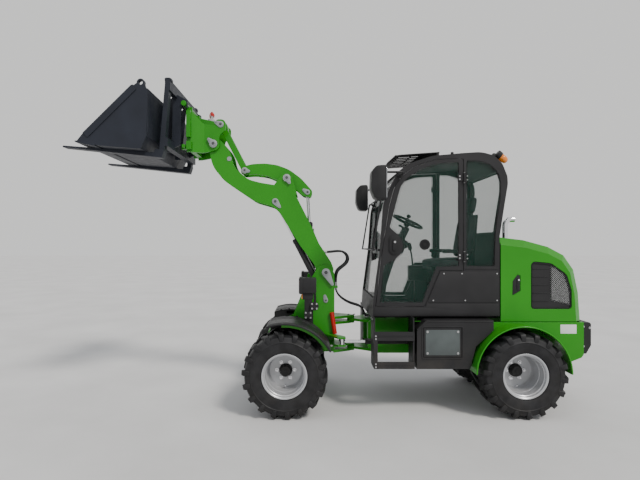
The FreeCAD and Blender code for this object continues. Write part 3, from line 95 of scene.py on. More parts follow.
def add_light():
    """A pale world and one broad sun from the right behind the camera, as the shadows show."""
    world = bpy.data.worlds.new("world")
    bpy.context.scene.world = world
    world.use_nodes = True
    tree = world.node_tree
    tree.nodes.clear()
    path = new_node(tree, "LightPath")
    seen = path.outputs["Is Camera Ray"]
    for kind in ("Is Transmission Ray", "Is Glossy Ray"):
        either = new_node(tree, "Math")
        either.operation = "MAXIMUM"
        feed(either.inputs[0], seen)
        feed(either.inputs[1], path.outputs[kind])
        seen = either.outputs[0]
    sky = new_node(tree, "Background", Color=(0.93, 0.96, 1.0, 1), Strength=0.85)
    wall = new_node(tree, "Background", Color=(0.86, 0.86, 0.85, 1), Strength=1.0)
    mix = new_node(tree, "MixShader")
    for socket, value in zip(mix.inputs, (seen, sky.outputs[0], wall.outputs[0])):
        feed(socket, value)
    new_node(tree, "OutputWorld", Surface=mix.outputs[0])
    data = bpy.data.lights.new("sun", "SUN")
    data.energy = 2.6
    data.angle = math.radians(12)
    data.color = (1.0, 0.97, 0.92)
    sun = new_object("sun", data)
    sun.rotation_mode = "QUATERNION"
    sun.rotation_quaternion = Vector((-0.62, 0.78, 0.98)).to_track_quat("Z", "Y")


add_camera()
add_light()


# Materials

class Shader:
    """A node material under construction: one principled shader and its object coordinates."""

    def __init__(self, name, colour, roughness, metallic=0.0):
        self.material = bpy.data.materials.new(name)
        self.material.use_nodes = True
        self.tree = self.material.node_tree
        self.main = self.tree.nodes["Principled BSDF"]
        self.coords = self.node("TexCoord").outputs["Object"]
        self.colour, self.roughness = colour, roughness
        self.set(Base_Color=(*colour, 1), Roughness=roughness, Metallic=metallic)

    def node(self, kind, **values):
        return new_node(self.tree, kind, **values)

    def set(self, **values):
        feed_all(self.main, **values)

    def noise(self, scale, detail, stretch=None):
        """A noise pattern's strength, 0 to 1, with the scale in waves a metre."""
        coords = self.coords
        if stretch:
            coords = self.node("Mapping", Scale=stretch, Vector=coords).outputs[0]
        return self.node("TexNoise", Scale=scale, Detail=detail, Roughness=0.55,
                         Vector=coords).outputs["Fac"]

    def spread(self, value, low, high, new_low=0.0, new_high=1.0):
        """The values from low to high, spread over a new range."""
        return self.node("MapRange", Value=value, From_Min=low, From_Max=high, To_Min=new_low,
                         To_Max=new_high).outputs["Result"]

    def times(self, first, second):
        product = self.node("Math")
        product.operation = "MULTIPLY"
        feed(product.inputs[0], first)
        feed(product.inputs[1], second)
        return product.outputs[0]

    def mixed(self, amount, first, second):
        """Blends two colours, given as tuples or as sockets, by a pattern."""
        blend = self.node("Mix")
        blend.data_type = "RGBA"
        feed(blend.inputs["Factor"], amount)
        for socket, value in ((blend.inputs[6], first), (blend.inputs[7], second)):
            feed(socket, (*value, 1) if isinstance(value, tuple) else value)
        return blend.outputs[2]

    def drift(self, pattern, low, high, *shares):
        """The colour times two shares, mixed by the part of a pattern from low to high."""
        shades = [tuple(part * share for part in self.colour) for share in shares]
        return self.mixed(self.spread(pattern, low, high), *shades)

    def sheen(self, pattern, low, high, *shares):
        """The roughness between two shares of it, by the part of a pattern from low to high."""
        return self.spread(pattern, low, high, *(self.roughness * share for share in shares))

    def dusty(self, colour, amount, top=0.75):
        """Dust that gathers towards the ground, broken up by noise."""
        height = self.node("SeparateXYZ", Vector=self.coords).outputs["Z"]
        patches = self.spread(self.noise(9, 6), 0.35, 0.75)
        shade = self.times(self.times(self.spread(height, top, 0.0), patches), amount)
        return self.mixed(shade, colour, (0.23, 0.19, 0.145))

    def bump(self, value, strength, distance, soft_edge=0.0):
        """A relief in metres, over edges that look rounded when a soft edge is given."""
        bump = self.node("Bump", Strength=strength, Distance=distance, Height=value)
        if soft_edge:
            bevel = self.node("Bevel", Radius=soft_edge)
            bevel.samples = 4
            feed(bump.inputs["Normal"], bevel.outputs[0])
        self.set(Normal=bump.outputs[0])


def paint(name, colour, roughness, dust, coat=0.15, metallic=0.0):
    """Sprayed enamel: slight orange peel, colour that drifts a little, dust towards the ground."""
    shader = Shader(name, colour, roughness, metallic)
    tone = shader.drift(shader.noise(2.2, 5), 0.3, 0.7, 0.86, 1)
    shader.set(Base_Color=shader.dusty(tone, dust),
               Roughness=shader.sheen(shader.noise(14, 5), 0.3, 0.75, 0.8, 1.35),
               Coat_Weight=coat, Coat_Roughness=0.12, Specular_IOR_Level=0.25)
    shader.bump(shader.noise(330, 2), 0.12, 0.0004, 0.003)
    return shader.material


def powder(name, colour, roughness, dust):
    """Textured dark paint of the cab's lower panels, frames and brackets."""
    shader = Shader(name, colour, roughness)
    tone = shader.drift(shader.noise(5, 5), 0.3, 0.7, 0.8, 1.15)
    shader.set(Base_Color=shader.dusty(tone, dust), Specular_IOR_Level=0.26,
               Roughness=shader.sheen(shader.noise(20, 5), 0.3, 0.75, 0.85, 1.2))
    shader.bump(shader.noise(700, 2), 0.25, 0.0004, 0.003)
    return shader.material


def metal(name, colour, roughness, brushed=None, grain_scale=500):
    """Bare or plated metal with darker stains; brushed is the stretch of its grain."""
    shader = Shader(name, colour, roughness, 1.0)
    grain = shader.noise(grain_scale, 3, brushed)
    shader.set(Base_Color=shader.drift(shader.noise(18, 6), 0.55, 0.8, 1, 0.72),
               Roughness=shader.sheen(grain, 0.3, 0.7, 0.75, 1.4))
    shader.bump(grain, 0.08, 0.0003)
    return shader.material


def rubber(name, colour, roughness, dust):
    """Rubber or cloth, worn paler in patches."""
    shader = Shader(name, colour, roughness)
    tone = shader.drift(shader.noise(12, 6), 0.35, 0.7, 1, 2.1)
    shader.set(Base_Color=shader.dusty(tone, dust, 0.8), Specular_IOR_Level=0.26,
               Roughness=shader.sheen(shader.noise(40, 4), 0.3, 0.7, 0.85, 1.15))
    shader.bump(shader.noise(260, 3), 0.3, 0.0006)
    return shader.material


def moulded(name, colour, roughness):
    """Grained plastic."""
    shader = Shader(name, colour, roughness)
    tone = shader.drift(shader.noise(7, 5), 0.3, 0.7, 0.85, 1.2)
    shader.set(Base_Color=shader.dusty(tone, 0.1), Specular_IOR_Level=0.26,
               Roughness=shader.sheen(shader.noise(30, 4), 0.3, 0.7, 0.85, 1.25))
    shader.bump(shader.noise(900, 2), 0.22, 0.0004, 0.002)
    return shader.material


def clear(name, colour, roughness, alpha):
    """Window glass, tinted and seen through by its alpha, with a faint film of dust."""
    shader = Shader(name, colour, roughness)
    film = shader.spread(shader.noise(6, 6), 0.4, 0.75, 0.0, 0.06)
    shader.set(Base_Color=shader.mixed(film, colour, (0.55, 0.55, 0.52)), IOR=1.45, Alpha=alpha,
               Roughness=shader.sheen(shader.noise(2, 3), 0.3, 0.8, 1, 1.5))
    return shader.material


def lens(name, colour, roughness=0.12):
    """Coloured plastic lens with moulded ribs."""
    shader = Shader(name, colour, roughness)
    ribs = shader.node("TexWave", Scale=38, Vector=shader.coords)
    ribs.bands_direction = "Z"
    shader.set(Base_Color=shader.drift(shader.noise(22, 4), 0.3, 0.7, 1, 0.75),
               Coat_Weight=0.6, Coat_Roughness=0.05, Subsurface_Weight=0.12)
    shader.bump(ribs.outputs["Fac"], 0.35, 0.001)
    return shader.material


GREEN = paint("green_paint", (0.021, 0.250, 0.005), 0.34, 0.12, 0.12)
DARK = powder("dark_paint", (0.020, 0.0195, 0.021), 0.52, 0.22)
SLATE = powder("slate_paint", (0.017, 0.020, 0.029), 0.48, 0.12)
SILVER = paint("silver_paint", (0.50, 0.51, 0.53), 0.34, 0.45, 0.25, 0.35)
RED = paint("red_paint", (0.50, 0.018, 0.014), 0.3, 0.25)
ZINC = metal("zinc", (0.36, 0.385, 0.395), 0.42)
PLATE = powder("grey_plate", (0.075, 0.088, 0.088), 0.5, 0.12)
CAST = powder("cast_grey", (0.10, 0.10, 0.105), 0.62, 0.3)
STEEL = metal("steel", (0.52, 0.52, 0.53), 0.34, (1, 8, 1))
CHROME = metal("chrome", (0.80, 0.80, 0.82), 0.09, None, 60)
TYRE = rubber("tyre", (0.0105, 0.0105, 0.0115), 0.52, 0.05)
GLASS = clear("glass", (0.012, 0.055, 0.038), 0.02, 0.2)
PLASTIC = moulded("black_plastic", (0.016, 0.016, 0.017), 0.42)
AMBER = lens("amber", (0.85, 0.24, 0.01))
RED_LENS = lens("red_lens", (0.45, 0.012, 0.01))
MIRROR = metal("mirror_glass", (0.75, 0.77, 0.80), 0.03, None, 30)
FABRIC = rubber("seat_cover", (0.030, 0.030, 0.033), 0.78, 0.1)
LAMP_GLASS = lens("lamp_glass", (0.62, 0.64, 0.66), 0.06)
SEAL = rubber("seal_rubber", (0.012, 0.012, 0.012), 0.6, 0.15)
WHITE = paint("white_plate", (0.74, 0.74, 0.72), 0.4, 0.2, 0.1)
HOSE = rubber("hose_rubber", (0.014, 0.014, 0.015), 0.5, 0.2)

WHEELS = [end + side for end in ("front_", "rear_") for side in ("left", "right")]
NODE_MATERIALS = {
    GREEN: ["rear_body", "rear_chassis", "front_frame", "boom", "lever", "link", "carrier", "hood"],
    DARK: ["rear_axle", "counterweight", "side_boxes", "steps", "cab_frame", "door_left",
           "door_right", "front_guard", "front_axle", "lift_barrels", "tilt_barrel", "steer_barrel",
           "hood_grilles"],
    SLATE: ["fork_frame", "forks", "bucket"],
    SILVER: ["rim_" + wheel for wheel in WHEELS],
    RED: ["boom_lock"],
    CAST: ["engine_block"],
    STEEL: ["lever_pin", "link_pin", "tip_pin"],
    CHROME: ["exhaust", "lift_rods", "tilt_rod", "steer_rod"],
    TYRE: ["tyre_" + wheel for wheel in WHEELS],
    GLASS: ["cab_glass", "door_glass_left", "door_glass_right"],
    PLASTIC: ["seat", "console", "mirrors", "front_fenders", "head_lamps"],
    AMBER: ["beacon"],
    RED_LENS: ["tail_lamps"],
    HOSE: ["boom_hoses", "joint_hoses"],
}


def dress_nodes():
    for material, names in NODE_MATERIALS.items():
        for name in names:
            mesh = nodes[name].data
            mesh.materials.clear()
            mesh.materials.append(material)


dress_nodes()


# Shapes. From here on lengths are in millimetres in the pivot frame, whose X = 0 is the
# articulation, and adding SHIFT in metres gives the row frame's x.

SHIFT = -0.231
TO_ROW = Matrix.Translation((SHIFT, 0, 0)) @ Matrix.Scale(0.001, 4)
X_AXIS, Y_AXIS, Z_AXIS = Vector((1, 0, 0)), Vector((0, 1, 0)), Vector((0, 0, 1))
SIDES = (("left", 1), ("right", -1))
ARC_STEP = 10           # degrees from point to point where a corner is rounded
SHARP_EDGE = math.radians(30)


def on_side(side):
    return Matrix.Scale(side, 4, Y_AXIS)


def aim(centre, direction):
    """Takes a shape drawn up the Z axis to a place and a direction."""
    turn = Vector(direction).to_track_quat("Z", "Y").to_matrix().to_4x4()
    return Matrix.Translation(centre) @ turn


def at(y, points):
    """The (x, z) points as places at one y."""
    return [(x, y, z) for x, z in points]


def arc(centre, radius, first, last, steps=12):
    """(x, z) points along an arc, from one angle to another in degrees."""
    angles = [math.radians(first + (last - first) * n / steps) for n in range(steps + 1)]
    return [(centre[0] + radius * math.cos(a), centre[1] + radius * math.sin(a)) for a in angles]


def rounded(points):
    """A closed outline whose (a, b, radius) corners become arcs."""
    result = []
    for number, point in enumerate(points):
        here = Vector(point[:2])
        if len(point) < 3:
            result.append(tuple(here))
            continue
        before = (Vector(points[number - 1][:2]) - here).normalized()
        after = (Vector(points[(number + 1) % len(points)][:2]) - here).normalized()
        half = before.angle(after) / 2
        centre = here + (before + after).normalized() * point[2] / math.sin(half)
        start = here + before * point[2] / math.tan(half) - centre
        end = here + after * point[2] / math.tan(half) - centre
        turn = start.angle_signed(end)
        count = max(2, math.ceil(abs(math.degrees(turn)) / ARC_STEP))
        for part in range(count + 1):
            result.append(tuple(centre + Matrix.Rotation(-turn * part / count, 2) @ start))
    return result


def rectangle(a, b, radius):
    """A rounded rectangle between two pairs of limits."""
    return rounded([(a[0], b[0], radius), (a[1], b[0], radius), (a[1], b[1], radius),
                    (a[0], b[1], radius)])


def shrunk(points, distance):
    """The outline moved inwards, or outwards by a negative distance, with sharp corners cut."""
    corners = [Vector(point[:2]) for point in points]
    area = sum(a.x * b.y - b.x * a.y for a, b in zip(corners, corners[1:] + corners[:1]))
    side = math.copysign(distance, area)
    moved = []
    for number, here in enumerate(corners):
        first = (here - corners[number - 1]).normalized()
        second = (corners[(number + 1) % len(corners)] - here).normalized()
        normal = Vector((-first.y - second.y, first.x + second.x)).normalized()
        reach = side / max(0.4, normal.dot(Vector((-first.y, first.x))))
        moved.append(tuple(here + normal * reach))
    return moved


class Piece:
    """One mesh made of closed shapes, each added where it lies."""

    def __init__(self):
        self.whole = bmesh.new()

    def join(self, shape):
        carrier = bpy.data.meshes.new("shape")
        shape.to_mesh(carrier)
        shape.free()
        self.whole.from_mesh(carrier)
        bpy.data.meshes.remove(carrier)
        return self

    def take(self, shape, matrix=None, bevel=0.0):
        """Adds a shape with its sharp edges bevelled, moved by the matrix."""
        bmesh.ops.recalc_face_normals(shape, faces=shape.faces)
        if bevel:
            sharp = [edge for edge in shape.edges if edge.calc_face_angle(0) > SHARP_EDGE]
            bmesh.ops.bevel(shape, geom=sharp, offset=bevel, segments=2, profile=0.6,
                            affect="EDGES", clamp_overlap=True)
        if matrix:
            shape.transform(matrix)
        return self.join(shape)

    def block(self, x, y, z, bevel, lean=0):
        """A block of three (low, high) pairs, turned by degrees about the Y axis in its middle."""
        shape = bmesh.new()
        bmesh.ops.create_cube(shape, size=1)
        shape.transform(Matrix.Diagonal([high - low for low, high in (x, y, z)] + [1]))
        place = Matrix.Translation([(low + high) / 2 for low, high in (x, y, z)])
        return self.take(shape, place @ Matrix.Rotation(math.radians(lean), 4, "Y"), bevel)

    def outline(self, points, span, plane="XZ", bevel=1.5):
        """A flat outline given thickness along the third axis."""
        shape = bmesh.new()
        order = {"XZ": (0, 2, 1), "YZ": (2, 0, 1)}[plane]
        rings = []
        for level in span:
            loose = [(a, b, level) for a, b in points]
            rings.append([shape.verts.new([spot[i] for i in order]) for spot in loose])
        shape.faces.new(rings[0])
        shape.faces.new(rings[1])
        for i in range(len(points)):
            shape.faces.new((rings[0][i - 1], rings[0][i], rings[1][i], rings[1][i - 1]))
        return self.take(shape, bevel=bevel)

    def band(self, outer, inner, span, bevel):
        """A frame between two outlines of as many points, in the XZ plane."""
        shape = bmesh.new()
        low, high = span
        rings = [[shape.verts.new((a, level, b)) for a, b in points]
                 for points, level in ((outer, low), (outer, high), (inner, high), (inner, low))]
        for i in range(len(outer)):
            for first, second in zip(rings, rings[1:] + rings[:1]):
                shape.faces.new((first[i - 1], first[i], second[i], second[i - 1]))
        return self.take(shape, bevel=bevel)

    def lathe(self, centre, direction, profile, sides=48, closed=False):
        """A turned shape of (along, radius) points from centre, along a direction."""
        shape = bmesh.new()
        rings = []
        for along, radius in profile:
            count = 1 if radius < 0.01 else sides
            rings.append([shape.verts.new((radius * math.cos(math.tau * i / sides),
                                           radius * math.sin(math.tau * i / sides), along))
                          for i in range(count)])
        for low, high in zip(rings, rings[1:] + (rings[:1] if closed else [])):
            for i in range(sides):
                ring = [low[i % len(low)], low[(i + 1) % sides % len(low)],
                        high[(i + 1) % sides % len(high)], high[i % len(high)]]
                corners = list(dict.fromkeys(ring))
                if len(corners) > 2:
                    shape.faces.new(corners)
        return self.take(shape, aim(centre, direction))

    def disc(self, centre, direction, radius, thick, sides=32, edge=1.0):
        return self.lathe(centre, direction, [(0, 0), (0, radius), (thick - edge, radius),
                                              (thick, radius - edge), (thick, 0)], sides)

    def bolt(self, centre, direction, size):
        """A hexagon head on its washer, standing on a face."""
        self.disc(centre, direction, size * 1.35, 2, 24, 0.4)
        top = Vector(centre) + Vector(direction).normalized() * 2
        return self.lathe(top, direction, [(0, 0), (0, size), (size * 0.6, size),
                                           (size * 0.75, size * 0.86), (size * 0.75, 0)], 6)

    def bolts(self, y, spots, size):
        """Bolts on the outer face at y, at (x, z) spots."""
        for place in at(y, spots):
            self.bolt(place, Y_AXIS, size)
        return self

    def bar(self, points, radius):
        """A round bar, straight from point to point."""
        return self.tube(points, radius, 2)

    def tube(self, points, radius, order=4):
        """A round hose or rod along a line, which an order above 2 makes smooth."""
        curve = bpy.data.curves.new("line", "CURVE")
        curve.dimensions = "3D"
        curve.bevel_depth = radius
        curve.bevel_resolution = 4
        curve.use_fill_caps = True
        curve.resolution_u = 6
        spline = curve.splines.new("NURBS")
        spline.points.add(len(points) - 1)
        for knot, point in zip(spline.points, points):
            knot.co = (*point, 1)
        spline.order_u = min(order, len(points))
        spline.use_endpoint_u = True
        holder = new_object("line", curve)
        reading = bpy.context.evaluated_depsgraph_get()
        mesh = bpy.data.meshes.new_from_object(holder.evaluated_get(reading))
        self.whole.from_mesh(mesh)
        bpy.data.objects.remove(holder)
        bpy.data.curves.remove(curve)
        bpy.data.meshes.remove(mesh)
        return self

    def also_mirrored(self):
        """Adds the same shapes on the machine's other side."""
        other = self.whole.copy()
        other.transform(on_side(-1))
        bmesh.ops.reverse_faces(other, faces=other.faces)
        return self.join(other)

    def both(self, name, material, body, replaces=()):
        """The finished object of these shapes on both sides of the machine."""
        self.also_mirrored().done(name, material, body, replaces)

    def done(self, name, material, body, replaces=(), place=None):
        """The finished object, riding on its body."""
        mesh = bpy.data.meshes.new(name)
        if place:
            self.whole.transform(place)
            if place.determinant() < 0:
                bmesh.ops.reverse_faces(self.whole, faces=self.whole.faces)
        self.whole.transform(TO_ROW)
        self.whole.to_mesh(mesh)
        self.whole.free()
        mesh.shade_smooth()
        mesh.set_sharp_from_angle(angle=math.radians(35))
        mesh.materials.append(material)
        piece = new_object(name, mesh)
        if body:
            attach(piece, body)
        if replaces:
            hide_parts(*replaces)
        return piece


# Wheels

FRONT_AXLE, REAR_AXLE = (660, 393.5), (-1510, 393.5)
WHEEL_Y = 535
LUGS = 18               # on each half of the tread
TREAD_RADIUS = 393
HALF_TYRE = [
    (110, 368), (160, 363), (180, 352), (188, 335), (191, 314), (195, 309), (195, 304), (192, 300),
    (192, 262), (190, 230), (184, 214), (171, 208), (170, 191)]
TYRE_PROFILE = [(-across, radius) for across, radius in HALF_TYRE[::-1]] + [(0, 370)] + HALF_TYRE
# One tread bar from the crown down over the shoulder: outer point, inner point (across, radius),
# middle along the tread, half width outside and inside.
LUG_SECTIONS = [
    ((8, 391), (8, 364), 62, 14, 19), ((60, 393), (60, 364), 42, 16, 21),
    ((115, 393), (115, 364), 15, 19, 24), ((160, 390), (156, 358), -1, 23, 28),
    ((184, 382), (172, 350), -4, 24, 29), ((194, 362), (182, 342), -4, 24, 29),
    ((194.5, 336), (186, 330), -4, 22, 27), ((192.5, 316), (187, 313), -4, 17, 22)]
RIM_PROFILE = [
    (-178, 200), (-178, 207), (-171, 207), (-168, 191), (168, 191), (171, 205), (175, 208),
    (179, 206), (180, 198), (173, 188), (152, 184), (147, 177), (70, 175), (62, 169), (-34, 167),
    (-46, 159), (-57, 150), (-58, 118), (-62, 92), (-62, 60), (-74, 60), (-74, 150), (-60, 172),
    (-150, 174), (-166, 190)]


def add_lug(piece, side, turn):
    shape = bmesh.new()
    rings = []
    for outer, inner, along, half_outer, half_inner in LUG_SECTIONS:
        ring = []
        for (across, radius), reach in ((outer, -half_outer), (outer, half_outer),
                                        (inner, half_inner), (inner, -half_inner)):
            angle = turn + (along + reach) / TREAD_RADIUS
            ring.append(shape.verts.new((radius * math.sin(angle), side * across,
                                         radius * math.cos(angle))))
        rings.append(ring)
    for first, second in zip(rings, rings[1:]):
        for i in range(4):
            shape.faces.new((first[i - 1], first[i], second[i], second[i - 1]))
    shape.faces.new(rings[0])
    shape.faces.new(rings[-1])
    piece.take(shape, bevel=4)


def add_wheel(label, axle, side):
    """One wheel, drawn for the left about its own centre."""
    body = "wheel_" + label
    place = Matrix.Translation((axle[0], WHEEL_Y * side, axle[1])) @ on_side(side)
    tyre = Piece().lathe((0, 0, 0), Y_AXIS, TYRE_PROFILE, 96, closed=True)
    for number in range(LUGS):
        for lug_side in (-1, 1):
            add_lug(tyre, lug_side, math.tau / LUGS * (number + 0.25 * lug_side))
    tyre.done("tyre_" + label + "_tread", TYRE, body, ["tyre_" + label], place)
    rim = Piece().lathe((0, 0, 0), Y_AXIS, RIM_PROFILE, 96, closed=True)
    rim.done("rim_" + label + "_dish", SILVER, body, ["rim_" + label], place)
    cap = Piece().lathe((0, -62, 0), Y_AXIS, [(0, 0), (0, 62), (8, 62), (12, 56), (44, 54),
                                              (56, 46), (58, 0)], 48)
    cap.disc((0, -5, 0), Y_AXIS, 20, 5, 24)
    cap.done("hub_cap_" + label, PLASTIC, body, place=place)
    nuts = Piece()
    for spot in at(-60, arc((0, 0), 84, 0, 300, 5)):
        nuts.disc(spot, Y_AXIS, 19, 4, 24)
        nuts.lathe(spot, Y_AXIS, [(4, 0), (4, 15), (18, 15), (21, 12), (21, 8), (34, 8), (35, 6),
                                  (35, 0)], 6)
    nuts.tube([(0, -56, -150), (0, -20, -152), (0, -12, -138)], 4)
    nuts.disc((0, -13, -140), (0, 0.5, 1), 5.5, 16, 12)
    nuts.done("wheel_nuts_" + label, CHROME, body, place=place)


for end_name, end_axle in (("front", FRONT_AXLE), ("rear", REAR_AXLE)):
    for side_name, side_factor in SIDES:
        add_wheel(end_name + "_" + side_name, end_axle, side_factor)


# Boom, linkage and tools

def retained_pin(piece, core, x, z, face, radius, tail):
    """A pin's head with its retaining plate, which a bolt holds at the end of its tail."""
    turn = math.degrees(math.atan2(tail[1] - z, tail[0] - x))
    outline = arc((x, z), radius, turn + 80, turn + 280, 10)
    outline += arc(tail, 15, turn - 80, turn + 80, 8)
    piece.outline(outline, (face, face + 7), bevel=1.2)
    piece.lathe((x, face + 7, z), Y_AXIS, [(0, radius * 0.4), (0, radius * 0.74),
                                           (5, radius * 0.7), (5, radius * 0.44)], 32, closed=True)
    core.disc((x, face + 6, z), Y_AXIS, radius * 0.42, 3, 24)
    core.disc((x, face + 9, z), Y_AXIS, 5, 6, 12)
    piece.bolts(face + 7, [tail], 7)


# Pins: name, x, z, face of what they pass through, radius, end of the retaining plate, body
PINS = [
    ("boom_pivot_pins", 271, 1298, 190, 42, (207, 1180), FRONT),
    ("lift_base_pins", 272, 1016, 170, 24, (282, 1060), FRONT),
    ("lift_rod_pins", 785, 2017, 144, 33, (740, 1962), "boom"),
    ("lever_pin_plates", 668, 2256, 158, 33, (640, 2206), "lever_pin"),
    ("tilt_rod_pins", 458, 2117, 92, 27, (497, 2140), "lever"),
    ("link_pin_plates", 1101, 2339, 104, 27, (1060, 2330), "link_pin"),
    ("carrier_pins", 1335, 2794, 170, 33, (1385, 2815), "hitch"),
    ("tip_pin_plates", 1406, 2596, 188, 36, (1452, 2640), "tip_pin"),
]


def add_pins():
    for name, x, z, face, radius, tail, body in PINS:
        piece, core = Piece(), Piece()
        retained_pin(piece, core, x, z, face, radius, tail)
        piece.both(name, ZINC, body)
        core.both(name + "_ends", CAST, body)
    Piece().disc((1252, 144, 2450), Y_AXIS, 24, 5).both("boom_stops", ZINC, "boom")


# Cylinders: name, body of the barrel, foot, rod end, sideways places, barrel radius and length
CYLINDERS = [
    ("lift", "lift_barrels", (272, 1016), (785, 2017), (90, -90), 28, 690),
    ("tilt", "tilt_barrel", (410, 1270), (458, 2117), (0,), 33, 540),
]


def add_cylinder_ends():
    for name, body, foot, end, places, radius, length in CYLINDERS:
        along = Vector((end[0] - foot[0], 0, end[1] - foot[1])).normalized()
        across = Vector((-along.z, 0, along.x))
        glands, lines = Piece(), Piece()
        for y in places:
            start = Vector((foot[0], y, foot[1]))
            glands.lathe(start + along * (length - 38), along, [
                (0, radius - 1), (0, radius + 3), (30, radius + 3), (34, radius + 1),
                (38, radius + 1), (42, 24), (44, 24), (44, 16.4), (-2, 16.4)], closed=True)
            ring = [(0, radius - 1), (0, radius + 1.5), (8, radius + 1.5), (8, radius - 1)]
            glands.lathe(start + along * 40, along, ring, closed=True)
            for reach in (70, length - 70):
                port = start + along * reach + across * (radius - 2)
                lines.disc(port, across, 11, 14, 6)
            lines.tube([start + along * reach + across * (radius + rise) for reach, rise in
                        ((70, 8), (110, 7), (length - 110, 7), (length - 70, 8))], 5)
        glands.done(name + "_glands", DARK, body)
        lines.done(name + "_lines", STEEL, body)


def add_couplers():
    """Two hydraulic couplers with red dust caps on the hitch, and the lock pins below."""
    bodies, caps = Piece(), Piece()
    bodies.block((1430, 1492), (-37, 37), (2858, 2884), 3)
    for y in (-19, 19):
        bodies.lathe((1462, y, 2880), (-0.2, 0, 1), [(0, 0), (0, 13), (16, 13), (16, 11), (30, 11),
                                                     (30, 14), (38, 14), (38, 0)], 24)
        caps.lathe((1454.4, y, 2917), (-0.2, 0, 1), [(0, 0), (0, 17), (12, 17.5), (24, 17),
                                                     (32, 13), (38, 7), (41, 0)], 24)
        caps.tube([(1448, y, 2950), (1446, y + 14, 2962), (1462, y + 20, 2950),
                   (1478, y + 18, 2920), (1474, y + 10, 2894)], 3)
    bodies.done("coupler_bodies", STEEL, "hitch")
    caps.done("coupler_caps", RED, "hitch")
    locks = Piece().block((1640, 1704), (226, 262), (2522, 2574), 3)
    locks.disc((1672, 262, 2548), Y_AXIS, 17, 56, 32)
    locks.disc((1672, 226, 2548), -Y_AXIS, 12, 26, 24)
    locks.disc((1668, 320, 2965), Y_AXIS, 26, 6, 32)
    locks.both("hitch_locks", GREEN, "hitch")


def add_bucket_trim():
    edge = Piece().outline([(2372, 2470.5), (2541, 2503), (2556, 2512), (2541, 2519), (2366, 2489)],
                           (-697, 697), bevel=1.5)
    edge.done("bucket_cutting_edge", SLATE, "hitch")
    trim = Piece()
    trim.bar([(2034, -684, 3016), (2034, 684, 3016)], 11)
    for y in (-675, -210, 210, 675):
        trim.bar([(1902, y, 2588), (1899, y, 2940)], 4.5)
    for y in (465, -535):
        trim.block((1728, 1790), (y, y + 70), (3110, 3137), 4)
        trim.disc((1752, y + 35, 3129), Z_AXIS, 14, 9, 24)
    trim.done("tool_trim", SLATE, "hitch")


add_pins()
add_cylinder_ends()
add_couplers()
add_bucket_trim()


# Hoses

BOOM_HOSE = [
    (292, 1502), (238, 1502), (168, 1512), (99, 1514), (52, 1482), (36, 1436), (52, 1389),
    (99, 1351), (145, 1320), (168, 1270), (168, 1160)]
JOINT_HOSE = [
    (162, 1140), (162, 1095), (132, 1048), (84, 1010), (30, 978), (-28, 960), (-82, 945),
    (-116, 915), (-132, 872), (-146, 833), (-180, 833)]
# Name, route, sideways places, radius, the two bodies, and in metres the x and z where the
# bend starts and ends
BUNDLES = [
    ("boom_hoses", BOOM_HOSE, (-111, -84, 84, 111), 11, (FRONT, "boom"), (0.168, 1.18),
     (0.27, 1.502)),
    ("joint_hoses", JOINT_HOSE, (-60, -20, 20, 60), 9, (REAR, FRONT), (-0.15, 0.85), (0.16, 1.11)),
]


def add_hoses():
    for name, route, places, radius, bodies, start, end in BUNDLES:
        bundle, collars = Piece(), Piece()
        for y in places:
            spots = [Vector(spot) for spot in at(y, route)]
            bundle.tube(spots, radius)
            for foot, there in (spots[:2], spots[:-3:-1]):
                collars.lathe(foot, (there - foot).normalized(), [
                    (0, 0), (0, radius + 3), (9, radius + 3), (9, radius + 1.6),
                    (34, radius + 1.6), (36, radius), (36, 0)], 24)
        for piece in (bundle.done(name + "_rubber", HOSE, None, [name]),
                      collars.done(name + "_collars", STEEL, None)):
            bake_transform(piece)


add_hoses()


# Front frame and lamps

def add_lamps():
    housing = Piece().block((371, 527), (420, 576), (1126, 1268), 12)
    housing.block((500, 532), (414, 582), (1120, 1274), 8)
    housing.block((400, 500), (440, 550), (1066, 1128), 8)
    housing.tube([(440, 276.5, 870), (436, 276.5, 905), (392, 276.5, 960), (380, 276.5, 1000),
                  (382, 276.5, 1090), (396, 290, 1138), (424, 340, 1150), (440, 430, 1150)], 13)
    housing.both("lamp_housings", PLASTIC, FRONT, ["head_lamps"])
    glass = Piece().block((528, 536), (428, 568), (1134, 1260), 3)
    glass.both("lamp_lenses", LAMP_GLASS, FRONT)
    signal = Piece().block((497, 509), (446, 544), (1072, 1122), 4)
    signal.both("signal_lenses", AMBER, FRONT)
    clamps, bolts = Piece(), Piece()
    clamps.block((410, 486), (262, 272), (850, 1036), 3)
    clamps.disc((388, 284, 972), Y_AXIS, 42, 12, 40)
    clamps.block((410, 488), (284, 296), (850, 916), 10)
    for first_x, last_x, first_z, last_z in ((365, 411, 949, 995), (425, 473, 859, 907)):
        spots = [(x, z) for x in (first_x, last_x) for z in (first_z, last_z)]
        for place in at(262, spots):
            bolts.disc(place, Y_AXIS, 4.5, 38, 12)
        bolts.bolts(296, spots, 7)
    clamps.both("lamp_clamps", DARK, FRONT)
    bolts.both("lamp_bolts", STEEL, FRONT)


